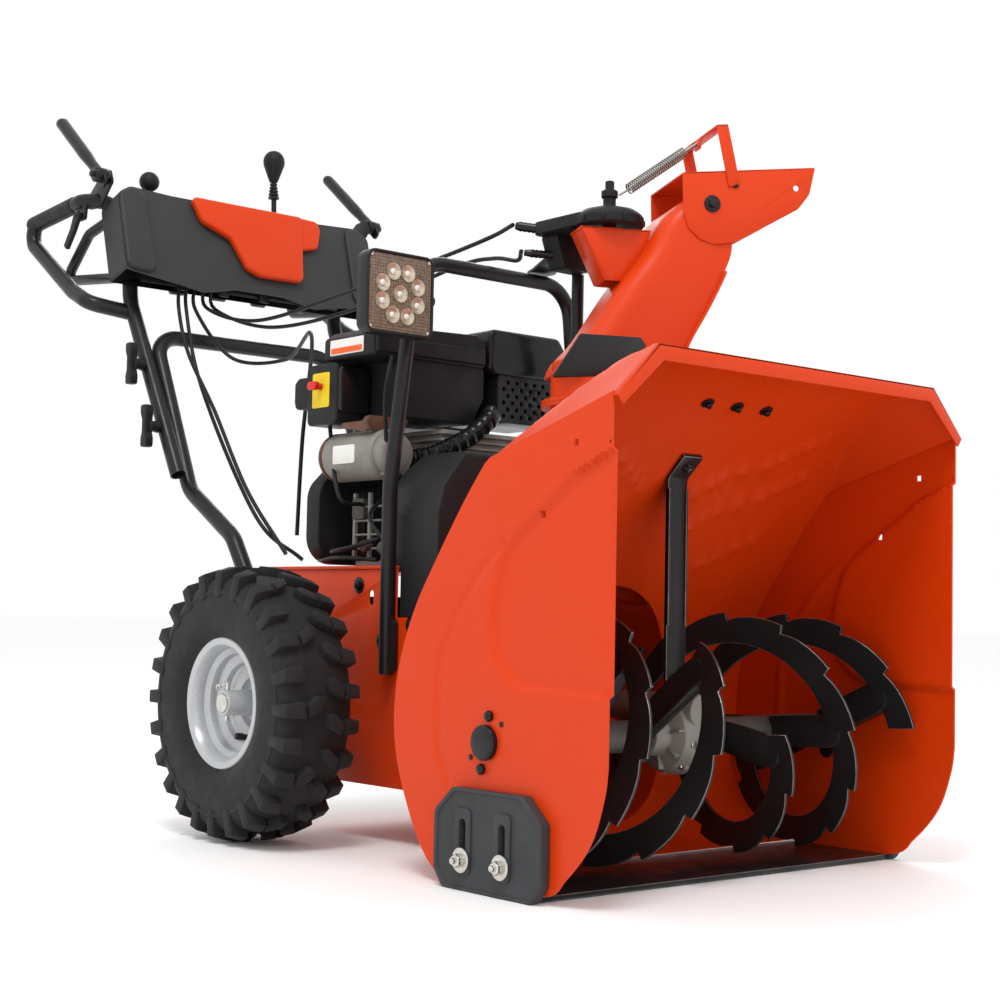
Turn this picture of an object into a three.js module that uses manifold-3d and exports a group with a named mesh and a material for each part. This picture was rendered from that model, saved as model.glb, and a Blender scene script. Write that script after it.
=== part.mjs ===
// Two-stage walk-behind snowblower: an auger housing at the front, an impeller drum and a turning
// chute behind it, an engine over a two-wheel drive frame, and a folding handlebar with a console.
//
// Millimetres, +Z up. Inside this file y = 0 is the plane of the housing's mouth and y grows towards
// the operator. The whole machine is then moved so that the origin is on the ground under its middle.
// "Right" and "left" are the operator's, so the right-hand side is at negative x.
import * as THREE from 'three';
import { mergeVertices } from 'three/addons/utils/BufferGeometryUtils.js';
import Module from 'manifold-3d';

const wasm = await Module();
wasm.setup();

// ---------------------------------------------------------------- driving dimensions
const CLEARING_WIDTH = 610;          // outside width of the auger housing
const HALF = CLEARING_WIDTH / 2;
const MIDDLE_Y = 740;                // from the mouth's plane to the middle of the machine
const SHEET = 3;                     // housing and frame sheet metal
const GAP = 0.3;                     // left between neighbours that touch

const MOUTH_TOP_Z = 603.5;           // underside to overside of the roof at the mouth
const CORNER = 60;                   // size of the sloping corner between roof and side plate
const CORNER_FALL = 0.3;             // how fast the corner strip falls towards the back
const LIP_REACH = 9;                 // the roof's folded edge stands this far in front of the mouth
const LIP_DROP = 18;

const AUGER = { y: 195.5, z: 166, radius: 152, shaft: 14 };
const IMPELLER = { z: 196, radius: 147, front: 378, back: 446, shaft: 10 };
const DRUM = { inside: 153, back: 458 };
const CHUTE = { x: 10, y: 338, base: 585, turn: 63.5, halfWidth: 62, neck: 74 };
const DEFLECTOR = { pivotU: 120, pivotZ: 850, halfWidth: 65.5 };

const FRAME = { half: 165, front: 375, back: 860, bottom: 75, top: 367 };
const AXLE = { y: 695.5, z: 184, radius: 12.5 };
const WHEEL = { middle: 300, radius: 184, rimEdge: 47 };
const CRANK = { z: 437 };

const BAR_RADIUS = 10.5;             // light bar tube
const TUBE_RADIUS = 12.7;            // handlebar tube
const LOWER_X = FRAME.half + GAP + TUBE_RADIUS;
const UPPER_X = LOWER_X + 2 * TUBE_RADIUS + GAP;
const GRIP_X = 272;
const GRIP_RADIUS = 14;

const WORM = { teeth: 20, pitch: 6.911 };

// ---------------------------------------------------------------- materials
const paint = (color, roughness = 0.3, metalness = 0) =>
  new THREE.MeshStandardMaterial({ color, roughness, metalness });
const ORANGE = paint(0xe4521e, 0.25);
const BLACK_STEEL = paint(0x242424, 0.45, 0.2);
const BLACK_PLASTIC = paint(0x1f1f1f, 0.6);
const DARK_GREY = paint(0x484848, 0.6);
const RUBBER = paint(0x262626, 0.85);
const CAST_ALLOY = paint(0xa9a7a2, 0.45, 0.8);
const STEEL = paint(0x9a9a98, 0.35, 0.9);
const RIM_GREY = paint(0xc3c6c8, 0.35, 0.4);
const BROWN = paint(0x7a4c34, 0.6, 0.3);
const LENS = paint(0xd9c3a5, 0.15);
const RED = paint(0xc8201c, 0.35);

// ---------------------------------------------------------------- solids from three.js geometry
// Winding is put right here, so an outline or a turned profile may be drawn either way round.
function solid(geometry) {
  const bare = geometry.clone();
  bare.deleteAttribute('normal');
  bare.deleteAttribute('uv');
  const merged = mergeVertices(bare, 1e-3);
  const vertProperties = Float32Array.from(merged.attributes.position.array);
  const triangles = [];
  for (let i = 0; i < merged.index.count; i += 3) {
    const [a, b, c] = [0, 1, 2].map((k) => merged.index.getX(i + k));
    if (a !== b && b !== c && c !== a) triangles.push([a, b, c]);
  }
  const wound = (list) => new wasm.Manifold(new wasm.Mesh({
    numProp: 3, vertProperties, triVerts: Uint32Array.from(list.flat()),
  }));
  const made = wound(triangles);
  return made.volume() > 0 ? made : wound(triangles.map(([a, b, c]) => [a, c, b]));
}

const join = (...solids) => solids.flat().reduce((all, next) => all.add(next));
const cut = (base, ...tools) => tools.flat().reduce((left, tool) => left.subtract(tool), base);

// A box from one corner to the opposite one.
function box([x0, y0, z0], [x1, y1, z1]) {
  const geometry = new THREE.BoxGeometry(x1 - x0, y1 - y0, z1 - z0);
  return solid(geometry.translate((x0 + x1) / 2, (y0 + y1) / 2, (z0 + z1) / 2));
}

// A round bar between two points; the second radius makes it a cone.
function bar(from, to, radius, sides = 16, endRadius = radius) {
  const start = new THREE.Vector3(...from);
  const along = new THREE.Vector3(...to).sub(start);
  const geometry = new THREE.CylinderGeometry(endRadius, radius, along.length(), sides);
  const turn = new THREE.Quaternion().setFromUnitVectors(new THREE.Vector3(0, 1, 0), along.clone().normalize());
  const middle = start.addScaledVector(along, 0.5);
  return solid(geometry.applyQuaternion(turn).translate(middle.x, middle.y, middle.z));
}

// A flat outline pushed along an axis. The outline is [y, z] for x, [x, z] for y and [x, y] for z.
function slab(axis, outline, from, to) {
  const shape = new THREE.Shape(outline.map(([u, v]) => new THREE.Vector2(u, v)));
  const geometry = new THREE.ExtrudeGeometry(shape, { depth: to - from, bevelEnabled: false });
  if (axis === 'x') {
    geometry.applyMatrix4(new THREE.Matrix4().set(0, 0, 1, from, 1, 0, 0, 0, 0, 1, 0, 0, 0, 0, 0, 1));
  } else if (axis === 'y') {
    geometry.applyMatrix4(new THREE.Matrix4().set(1, 0, 0, 0, 0, 0, -1, to, 0, 1, 0, 0, 0, 0, 0, 1));
  } else {
    geometry.translate(0, 0, from);
  }
  return solid(geometry);
}

// A profile of [radius, height] pairs turned about an axis through a point.
function turned(axis, profile, [x, y, z], sides = 24) {
  const points = profile.map(([radius, height]) => new THREE.Vector2(radius, height));
  const geometry = new THREE.LatheGeometry(points, sides);
  if (axis === 'x') geometry.rotateZ(-Math.PI / 2);
  if (axis === 'z') geometry.rotateX(Math.PI / 2);
  return solid(geometry.translate(x, y, z));
}

// The corners of a path or outline rounded with arcs of the given radius.
function rounded(points, radius, segments = 4, closed = false) {
  const corners = points.map((p) => new THREE.Vector3(p[0], p[1], p[2] ?? 0));
  const smooth = [];
  corners.forEach((corner, i) => {
    if (!closed && (i === 0 || i === corners.length - 1)) {
      smooth.push(corner);
      return;
    }
    const before = corners[(i + corners.length - 1) % corners.length];
    const after = corners[(i + 1) % corners.length];
    const back = before.clone().sub(corner).normalize();
    const ahead = after.clone().sub(corner).normalize();
    const half = back.angleTo(ahead) / 2;
    const r = Array.isArray(radius) ? radius[i] : radius;
    const reach = r / Math.tan(half);
    const centre = back.clone().add(ahead).normalize().multiplyScalar(r / Math.sin(half)).add(corner);
    const start = corner.clone().addScaledVector(back, reach).sub(centre);
    const end = corner.clone().addScaledVector(ahead, reach).sub(centre);
    const sweep = start.angleTo(end);
    for (let s = 0; s <= segments; s += 1) {
      const t = s / segments;
      const a = Math.sin((1 - t) * sweep) / Math.sin(sweep);
      const b = Math.sin(t * sweep) / Math.sin(sweep);
      smooth.push(start.clone().multiplyScalar(a).addScaledVector(end, b).add(centre));
    }
  });
  return smooth;
}
const outline = (points, radius, segments = 3) =>
  rounded(points, radius, segments, true).map((p) => [p.x, p.y]);

// A path that visits chosen stations, so a straight stretch costs one step and a bend a few.
class Stations extends THREE.Curve {
  constructor(points) {
    super();
    this.points = points;
  }

  getPointAt(u, target = new THREE.Vector3()) {
    const last = this.points.length - 1;
    const at = Math.min(last - 1, Math.floor(u * last + 1e-6));
    return target.copy(this.points[at]).lerp(this.points[at + 1], u * last - at);
  }

  getTangentAt(u, target = new THREE.Vector3()) {
    const last = this.points.length - 1;
    const at = Math.round(u * last);
    const before = this.points[Math.max(0, at - 1)];
    return target.copy(this.points[Math.min(last, at + 1)]).sub(before).normalize();
  }
}

// A round tube or cable along a path of points, its corners bent to the radius.
function tube(points, radius, bend = 40, sides = 8, segments = 2) {
  const path = new Stations(rounded(points, bend, segments));
  const section = new THREE.Shape();
  for (let i = 0; i < sides; i += 1) {
    const angle = (i / sides) * 2 * Math.PI;
    section[i ? 'lineTo' : 'moveTo'](radius * Math.cos(angle), radius * Math.sin(angle));
  }
  const steps = path.points.length - 1;
  return solid(new THREE.ExtrudeGeometry(section, { extrudePath: path, steps, bevelEnabled: false }));
}

// A free cable: a smooth curve through the points, with a step every few diameters.
function cable(points, radius = 3.2, sides = 8) {
  const curve = new THREE.CatmullRomCurve3(points.map((p) => new THREE.Vector3(...p)), false, 'centripetal');
  const steps = Math.ceil(curve.getLength() / (radius * 19));
  const path = new Stations(curve.getSpacedPoints(steps));
  const section = new THREE.Shape();
  for (let i = 0; i < sides; i += 1) {
    const angle = (i / sides) * 2 * Math.PI;
    section[i ? 'lineTo' : 'moveTo'](radius * Math.cos(angle), radius * Math.sin(angle));
  }
  return solid(new THREE.ExtrudeGeometry(section, { extrudePath: path, steps, bevelEnabled: false }));
}

// ---------------------------------------------------------------- the scene graph
const machine = new THREE.Group();
machine.position.y = -MIDDLE_Y;

function add(name, body, material, parent = machine) {
  const { vertProperties, triVerts } = body.getMesh();
  const geometry = new THREE.BufferGeometry();
  geometry.setAttribute('position', new THREE.BufferAttribute(Float32Array.from(vertProperties), 3));
  geometry.setIndex(new THREE.BufferAttribute(Uint32Array.from(triVerts), 1));
  const mesh = new THREE.Mesh(geometry, material);
  mesh.name = name;
  parent.add(mesh);
}

// The same piece on both sides: the maker is given -1 for the operator's right and +1 for the left.
function addPair(name, make, material) {
  add(`${name}_right`, make(-1), material);
  add(`${name}_left`, make(1), material);
}
// Corners of a box whose x runs between two distances from the centre plane, on one side.
const sideBox = (side, x0, x1, [y0, z0], [y1, z1]) =>
  box([Math.min(side * x0, side * x1), y0, z0], [Math.max(side * x0, side * x1), y1, z1]);
const sideSlab = (side, points, x0, x1) =>
  slab('x', points, Math.min(side * x0, side * x1), Math.max(side * x0, side * x1));

// ---------------------------------------------------------------- auger housing
// The housing's side profile, [y, z] from the mouth's top edge over the roof and round the back.
const PROFILE = [
  [0, MOUTH_TOP_Z], [60, 592], [120, 560], [180, 510], [233, 452], [268, 407], [295, 370], [326, 325],
  [350, 277], [364, 229], [368, 181], [362, 140], [346, 98], [318, 48], [290, 18], [262, 8],
];
const BOTTOM = [[100, 8], [61, 31], [24, 72], [5, 121], [0, 152]];

// The profile moved inwards by a distance along the normals of its points.
function inset(points, distance) {
  return points.map(([y, z], i) => {
    const [y0, z0] = points[Math.max(0, i - 1)];
    const [y1, z1] = points[Math.min(points.length - 1, i + 1)];
    const length = Math.hypot(y1 - y0, z1 - z0);
    return [y + ((z1 - z0) / length) * distance, z - ((y1 - y0) / length) * distance];
  });
}

// The wedge above a sloping corner plane, on one side; the depth moves the plane inwards.
function cornerWedge(side, depth) {
  const shift = depth * Math.SQRT2;
  const shape = [[HALF - CORNER - 100, 0], [HALF + 100, -CORNER - 200], [HALF + 200, 200]];
  const lean = new THREE.Shape(shape.map(([x, z]) => new THREE.Vector2(side * (x - shift), z + 100)));
  const geometry = new THREE.ExtrudeGeometry(lean, { depth: 500, bevelEnabled: false });
  const matrix = new THREE.Matrix4().set(
    1, 0, 0, 0, 0, 0, 1, -20, 0, 1, -CORNER_FALL, MOUTH_TOP_Z + 20 * CORNER_FALL, 0, 0, 0, 1,
  );
  return solid(geometry.applyMatrix4(matrix));
}

function bucketBlock(depth, halfWidth, front) {
  const back = inset(PROFILE, depth);
  back[0] = [front, back[0][1]];
  const block = slab('x', [...back, [front, back.at(-1)[1]]], -halfWidth, halfWidth);
  return cut(block, cornerWedge(-1, depth), cornerWedge(1, depth));
}

const bucketOutside = bucketBlock(0, HALF, 0);
const bucketInside = bucketBlock(SHEET, HALF - SHEET, -20);
const bucketShell = cut(bucketOutside, bucketInside);

// The roof's front edge and the two sloping corners carry a folded lip.
const lipBand = (inner) => {
  const top = [[-HALF, MOUTH_TOP_Z - CORNER], [-HALF + CORNER, MOUTH_TOP_Z]];
  const low = inner * 0.42;
  return [...top, ...top.map(([x, z]) => [-x, z]).reverse(),
    [HALF - low, MOUTH_TOP_Z - CORNER - inner + low], [HALF - CORNER - low, MOUTH_TOP_Z - inner],
    [-HALF + CORNER + low, MOUTH_TOP_Z - inner], [-HALF + low, MOUTH_TOP_Z - CORNER - inner + low]];
};
const lip = join(
  slab('y', lipBand(SHEET), -LIP_REACH, 1),
  slab('y', lipBand(LIP_DROP), -LIP_REACH, -LIP_REACH + SHEET),
);
const drumBore = bar([0, 200, IMPELLER.z], [0, 500, IMPELLER.z], DRUM.inside, 24);
const wrapTrim = [-1, 1].map((side) => sideBox(side, HALF - SHEET - GAP, HALF + 1, [-30, 0], [500, 700]));
const overScraper = box([-HALF, -30, 0], [HALF, 246, 20]);
add('housing_wrap', join(cut(bucketShell, drumBore, overScraper, ...wrapTrim), cut(lip, ...wrapTrim)), ORANGE);

// Side plate: a flat sheet with the bearing seat of the auger shaft and two studs for the skid shoe.
const SHOE = { front: 85, back: 269, top: 114, boltZ: 34, bolts: [150, 218], thick: 14, travel: 0.04 };
function sidePlate(side) {
  let plate = sideSlab(side, [...PROFILE, ...BOTTOM], HALF - SHEET, HALF);
  plate = cut(plate, cornerWedge(side, 0));
  const seat = bar([side * (HALF - SHEET), AUGER.y, AUGER.z], [side * (HALF + 9), AUGER.y, AUGER.z], 21, 14);
  const studs = SHOE.bolts.map((y) => bar([side * (HALF - 1), y, SHOE.boltZ],
    [side * (HALF + SHOE.thick + 12), y, SHOE.boltZ], 5, 8));
  const nuts = SHOE.bolts.map((y) => bar([side * (HALF + SHOE.thick + 1), y, SHOE.boltZ],
    [side * (HALF + SHOE.thick + 8), y, SHOE.boltZ], 13, 10));
  const bore = bar([side * (HALF - 20), AUGER.y, AUGER.z], [side * (HALF + 20), AUGER.y, AUGER.z],
    AUGER.shaft + 3 * GAP, 14);
  const squares = [[55, 496], [112, 420.5]].map(([y, z]) => sideBox(side, HALF - 9, HALF + 9,
    [y - 5, z - 5], [y + 5, z + 5]));
  return cut(join(plate, seat, studs, nuts), bore, ...squares);
}
addPair('side_plate', sidePlate, ORANGE);

// The scraper bar closes the bottom of the housing between the side plates.
add('scraper_bar', slab('x', [[112, 1.5], [262, 1.5], [262, 7.7], [100.5, 7.7], [104, 1.5]],
  -(HALF - SHEET - GAP), HALF - SHEET - GAP), BLACK_STEEL);

// Impeller drum with the neck that carries the chute, closed at the back round the shaft.
function impellerHousing() {
  const drum = bar([0, 250, IMPELLER.z], [0, DRUM.back, IMPELLER.z], DRUM.inside + SHEET, 24);
  const neck = bar([CHUTE.x, CHUTE.y, IMPELLER.z + 100], [CHUTE.x, CHUTE.y, CHUTE.base - 20], CHUTE.neck, 14);
  const flange = bar([CHUTE.x, CHUTE.y, CHUTE.base - 24], [CHUTE.x, CHUTE.y, CHUTE.base - GAP],
    CHUTE.neck + 12, 14);
  const hollow = bar([0, 200, IMPELLER.z], [0, DRUM.back - SHEET, IMPELLER.z], DRUM.inside, 24);
  const throat = bar([CHUTE.x, CHUTE.y, IMPELLER.z + 90], [CHUTE.x, CHUTE.y, CHUTE.base + 10],
    CHUTE.neck - SHEET, 14);
  const shaftHole = bar([0, 400, IMPELLER.z], [0, 500, IMPELLER.z], IMPELLER.shaft + 0.5, 14);
  return cut(join(drum, neck, flange), hollow, throat, shaftHole, bucketBlock(-GAP, HALF, -20));
}
add('impeller_housing', impellerHousing(), ORANGE);

// ---------------------------------------------------------------- augers, gearbox and impeller
// One half of the auger: a hub tube, two ribbon flights and the flat arms that carry them.
class Flight extends THREE.Curve {
  constructor(from, to, start, turn, radius) {
    super();
    Object.assign(this, { from, to, start, turn, radius });
  }

  angle(u) {
    return this.start + this.turn * u;
  }

  getPointAt(u, target = new THREE.Vector3()) {
    const angle = this.angle(u);
    return target.set(
      this.from + (this.to - this.from) * u,
      AUGER.y + this.radius * Math.cos(angle),
      AUGER.z + this.radius * Math.sin(angle),
    );
  }

  // The section's first axis points out from the shaft, so the ribbon stands on edge all the way.
  computeFrenetFrames(segments) {
    const frames = { tangents: [], normals: [], binormals: [] };
    for (let i = 0; i <= segments; i += 1) {
      const angle = this.angle(i / segments);
      const normal = new THREE.Vector3(0, Math.cos(angle), Math.sin(angle));
      const around = new THREE.Vector3(0, -Math.sin(angle), Math.cos(angle)).multiplyScalar(Math.sign(this.turn));
      const pitch = (this.to - this.from) / (Math.abs(this.turn) * this.radius);
      const tangent = around.add(new THREE.Vector3(pitch, 0, 0)).normalize();
      frames.normals.push(normal);
      frames.tangents.push(tangent);
      frames.binormals.push(new THREE.Vector3().crossVectors(tangent, normal));
    }
    return frames;
  }
}

// Each flight makes one full turn, opposite-handed on the two sides so that snow moves to the middle.
const RIBBON = {
  depth: 40, thick: 5, inner: 42, outer: 280, turn: 2 * Math.PI, steps: 20, arms: [0.03, 0.5, 0.94], hubEnd: 62,
};
const RIBBON_START = { right: 2.18, left: -0.05 };

function augerHalf(side) {
  const hub = cut(
    bar([side * RIBBON.hubEnd, AUGER.y, AUGER.z], [side * 288, AUGER.y, AUGER.z], 19, 14),
    bar([side * 50, AUGER.y, AUGER.z], [side * 300, AUGER.y, AUGER.z], AUGER.shaft + GAP, 14),
  );
  const pieces = [hub];
  [0, Math.PI].forEach((phase) => {
    const section = new THREE.Shape();
    const [near, far] = [-RIBBON.depth / 2, RIBBON.depth / 2];
    section.moveTo(near, -RIBBON.thick / 2).lineTo(far, -RIBBON.thick / 2);
    section.lineTo(far, RIBBON.thick / 2).lineTo(near, RIBBON.thick / 2);
    const middle = AUGER.radius - RIBBON.depth / 2;
    const start = phase + (side < 0 ? RIBBON_START.right : RIBBON_START.left);
    const path = new Flight(side * RIBBON.inner, side * RIBBON.outer, start, RIBBON.turn, middle);
    pieces.push(solid(new THREE.ExtrudeGeometry(section,
      { extrudePath: path, steps: RIBBON.steps, bevelEnabled: false })));
    RIBBON.arms.forEach((u) => {
      const angle = path.angle(u);
      const tip = path.getPointAt(u).x;
      const root = side * Math.max(Math.abs(tip), RIBBON.hubEnd + 4);
      const [c, s] = [Math.cos(angle), Math.sin(angle)];
      const at = (r, t) => [AUGER.y + r * c - t * s, AUGER.z + r * s + t * c];
      const reach = middle - 4;
      const arm = slab('x', [at(15, -17), at(reach, -17), at(reach, 17), at(15, 17)], root - 2.5, root + 2.5);
      pieces.push(cut(
        arm.warp((point) => {
          const out = Math.hypot(point[1] - AUGER.y, point[2] - AUGER.z);
          point[0] += (tip - root) * Math.min(1, Math.max(0, (out - 25) / (reach - 30)));
        }),
        bar([side * 50, AUGER.y, AUGER.z], [side * 300, AUGER.y, AUGER.z], AUGER.shaft + GAP, 14),
      ));
    });
  });
  return join(pieces);
}
addPair('auger', augerHalf, BLACK_STEEL);

// The worm wheel's teeth stand on the auger shaft inside the gearbox.
function augerShaft() {
  const teeth = [];
  const root = 18.6;
  for (let i = 0; i < WORM.teeth; i += 1) {
    const angle = ((i + 0.5) / WORM.teeth) * 2 * Math.PI + Math.PI / 2;
    const [c, s] = [Math.cos(angle), Math.sin(angle)];
    const at = (r, t) => [AUGER.y + r * c - t * s, AUGER.z + r * s + t * c];
    teeth.push(slab('x', [at(root - 1, -1.7), at(22, -1.1), at(22, 1.1), at(root - 1, 1.7)], -4, 4));
  }
  return join(
    bar([-(HALF + 6), AUGER.y, AUGER.z], [HALF + 6, AUGER.y, AUGER.z], AUGER.shaft, 14),
    bar([-4, AUGER.y, AUGER.z], [4, AUGER.y, AUGER.z], root, 14),
    teeth,
  );
}
add('auger_shaft', augerShaft(), STEEL);

// V-belt pulleys: the crank's small ones and the big one on the back end of the impeller shaft.
const PULLEY = { y: 505, wide: 20, drive: 28, driven: 98 };
const grooved = (radius, wide) => [[0, -wide / 2], [radius, -wide / 2], [radius, -wide / 2 + 3],
  [radius - 9, -3], [radius - 9, 3], [radius, wide / 2 - 3], [radius, wide / 2], [0, wide / 2]];

// The impeller shaft ends in a single-start worm above the worm wheel.
class Thread extends THREE.Curve {
  getPointAt(u, target = new THREE.Vector3()) {
    const angle = (u * 3 + 0.5) * 2 * Math.PI + Math.PI;
    return target.set(7.6 * Math.sin(angle), AUGER.y + (u - 0.5) * 3 * WORM.pitch,
      IMPELLER.z + 7.6 * Math.cos(angle));
  }

  computeFrenetFrames(segments) {
    const frames = { tangents: [], normals: [], binormals: [] };
    for (let i = 0; i <= segments; i += 1) {
      const angle = ((i / segments) * 3 + 0.5) * 2 * Math.PI + Math.PI;
      frames.normals.push(new THREE.Vector3(Math.sin(angle), 0, Math.cos(angle)));
      frames.binormals.push(new THREE.Vector3(0, 1, 0));
      frames.tangents.push(new THREE.Vector3(Math.cos(angle), 0, -Math.sin(angle)));
    }
    return frames;
  }
}
function impellerShaft() {
  const section = new THREE.Shape();
  section.moveTo(-2, -1.5).lineTo(1.6, -0.9).lineTo(1.6, 0.9).lineTo(-2, 1.5);
  const thread = solid(new THREE.ExtrudeGeometry(section,
    { extrudePath: new Thread(), steps: 24, bevelEnabled: false }));
  return join(
    thread,
    bar([0, 162, IMPELLER.z], [0, 240, IMPELLER.z], 6.6, 12),
    bar([0, 236, IMPELLER.z], [0, 530, IMPELLER.z], IMPELLER.shaft, 12),
    turned('y', grooved(PULLEY.driven, PULLEY.wide), [0, PULLEY.y, IMPELLER.z], 24),
  );
}
add('impeller_shaft', impellerShaft(), STEEL);

// Cast gearbox round the worm drive, held by the two shafts and steadied by a strap to the roof.
function gearboxCase() {
  const body = join(
    turned('x', [[0, -56], [24, -56], [25, -34], [44, -26], [48, -6], [48, 6], [44, 26], [25, 34], [24, 56],
      [0, 56]], [0, AUGER.y, AUGER.z], 14),
    bar([0, 150, IMPELLER.z], [0, 300, IMPELLER.z], 21, 14),
    bar([0, 286, IMPELLER.z], [0, 318, IMPELLER.z], 17, 14),
    slab('x', [[183, 190], [183, 226], [208, 226], [208, 190]], -9, 9),
  );
  return cut(body,
    turned('x', [[0, -20], [30, -20], [30, 20], [0, 20]], [0, AUGER.y, AUGER.z], 14),
    bar([0, 156, IMPELLER.z], [0, 240, IMPELLER.z], 13, 12),
    bar([0, 230, IMPELLER.z], [0, 330, IMPELLER.z], IMPELLER.shaft + 0.5, 14),
    bar([-70, AUGER.y, AUGER.z], [70, AUGER.y, AUGER.z], AUGER.shaft + 0.5, 14));
}
add('gearbox_case', gearboxCase(), CAST_ALLOY);

// Flat strap from the roof down to the lug on top of the gearbox.
const strap = join(
  box([-17, 196, 226.5], [17, 201, 520]),
  box([-17, 176, 226.5], [17, 201, 231.5]),
  slab('x', [[200, 500], [200, 470], [160, 514], [160, 560]], -17, 17),
);
add('gearbox_strap', strap.intersect(bucketBlock(SHEET + GAP, HALF - 10, -20)), BLACK_STEEL);

// Four bent blades on a hub, in front of a round back plate.
function impeller() {
  const hub = bar([0, IMPELLER.front, IMPELLER.z], [0, IMPELLER.back, IMPELLER.z], 22, 14);
  const plate = bar([0, IMPELLER.back - 5, IMPELLER.z], [0, IMPELLER.back, IMPELLER.z], 62, 24);
  const blades = [0, 1, 2, 3].map((i) => {
    const angle = (i * Math.PI) / 2 + 0.4;
    const [c, s] = [Math.cos(angle), Math.sin(angle)];
    const at = (r, t) => [r * c - t * s, IMPELLER.z + r * s + t * c];
    const blade = [at(16, -3), at(132, -3), at(IMPELLER.radius, 14), at(IMPELLER.radius - 5, 14), at(128, 3),
      at(16, 3)];
    return slab('y', blade, IMPELLER.front, IMPELLER.back);
  });
  const bore = bar([0, 300, IMPELLER.z], [0, 500, IMPELLER.z], IMPELLER.shaft + GAP, 14);
  return cut(join(hub, plate, blades), bore);
}
add('impeller', impeller(), BLACK_STEEL);

// ---------------------------------------------------------------- skid shoes and wheels
// Shoe: an angle-shaped runner with two slots, clamped by the studs at the height that is wanted.
function skidShoe(side) {
  const { front, back, top, thick, boltZ, bolts, travel } = SHOE;
  const inner = HALF + GAP;
  const shape = [[front, 22], [front + 14, 0.2], [back - 14, 0.2], [back, 22], [back, top - 26],
    [back - 30, top], [front + 30, top], [front, top - 26]];
  const plate = sideSlab(side, shape, inner, inner + 5);
  const rim = cut(sideSlab(side, shape, inner, HALF + thick), sideSlab(side, shape.map(([y, z]) => [
    177 + (y - 177) * 0.9, 57 + (z - 57) * 0.86]), inner + 4, HALF + thick + 5));
  const slots = bolts.map((y) => {
    const hole = outline([[y - 6, boltZ - 6], [y + 6, boltZ - 6], [y + 6, boltZ + travel * 1000 + 6],
      [y - 6, boltZ + travel * 1000 + 6]], 5.5, 3);
    return sideSlab(side, hole, inner - 5, HALF + thick + 5);
  });
  const bosses = bolts.map((y) => sideSlab(side, outline([[y - 15, boltZ - 15], [y + 15, boltZ - 15],
    [y + 15, boltZ + travel * 1000 + 15], [y - 15, boltZ + travel * 1000 + 15]], 14, 3), inner, HALF + thick));
  return cut(join(plate, rim, bosses), ...slots);
}
addPair('skid_shoe', skidShoe, DARK_GREY);

// Rim: a drop-centre barrel with rolled edges and a dished disc round the hub sleeve.
function rim(side) {
  const e = WHEEL.rimEdge;
  const barrel = turned('x', [[76, -e + 4], [85, -e + 4], [86, -e], [74, -e], [64, -18], [64, 18], [74, e], [86, e],
    [85, e - 4], [76, e - 4], [68, 22], [68, -22], [76, -e + 4]], [side * WHEEL.middle, AXLE.y, AXLE.z], 14);
  const disc = turned('x', [[15, -side * 12], [46, -side * 2], [66, side * 12], [66, side * 8], [46, -side * 6],
    [15, -side * 16], [15, -side * 12]], [side * WHEEL.middle, AXLE.y, AXLE.z], 14);
  const sleeve = bar([side * (WHEEL.middle - 50), AXLE.y, AXLE.z], [side * (WHEEL.middle + 45), AXLE.y, AXLE.z],
    17, 12);
  const bore = bar([side * 200, AXLE.y, AXLE.z], [side * 400, AXLE.y, AXLE.z], AXLE.radius + GAP, 14);
  return cut(join(barrel, disc, sleeve), bore);
}
addPair('rim', rim, RIM_GREY);

// Tyre: a hollow carcass, open to the rim, with two rows of staggered lugs.
const LUG = { rows: 8, height: 15, wide: 28 };
function tyre(side) {
  const tread = WHEEL.radius - LUG.height;
  const carcass = turned('x', [[77.5, -42], [87, -42.6], [104, -56], [148, -56], [tread, -34], [tread, 34],
    [148, 56], [104, 56], [87, 42.6], [77.5, 42], [92, 34], [tread - 12, 32], [tread - 12, -32], [92, -34],
    [77.5, -42]], [side * WHEEL.middle, AXLE.y, AXLE.z], 14);
  const lugs = [];
  for (let i = 0; i < LUG.rows * 2; i += 1) {
    const row = i % 2 ? 1 : -1;
    const angle = (i / (LUG.rows * 2)) * 2 * Math.PI;
    const foot = [[row * 4, -LUG.wide / 2 - 6], [row * 4, LUG.wide / 2 - 6], [row * 57, LUG.wide / 2 + 6],
      [row * 57, -LUG.wide / 2 + 6]];
    const shape = new THREE.Shape(foot.map(([x, t]) => new THREE.Vector2(x, t)));
    const geometry = new THREE.ExtrudeGeometry(shape, { depth: LUG.height + 14, bevelEnabled: false });
    geometry.translate(0, 0, WHEEL.radius - LUG.height - 14).rotateX(angle);
    lugs.push(solid(geometry.translate(side * WHEEL.middle, AXLE.y, AXLE.z)));
  }
  return join(carcass, lugs);
}
addPair('tyre', tyre, RUBBER);

addPair('axle', (side) => bar([side * 22, AXLE.y, AXLE.z], [side * (WHEEL.middle + 46), AXLE.y, AXLE.z],
  AXLE.radius, 14), STEEL);

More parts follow.
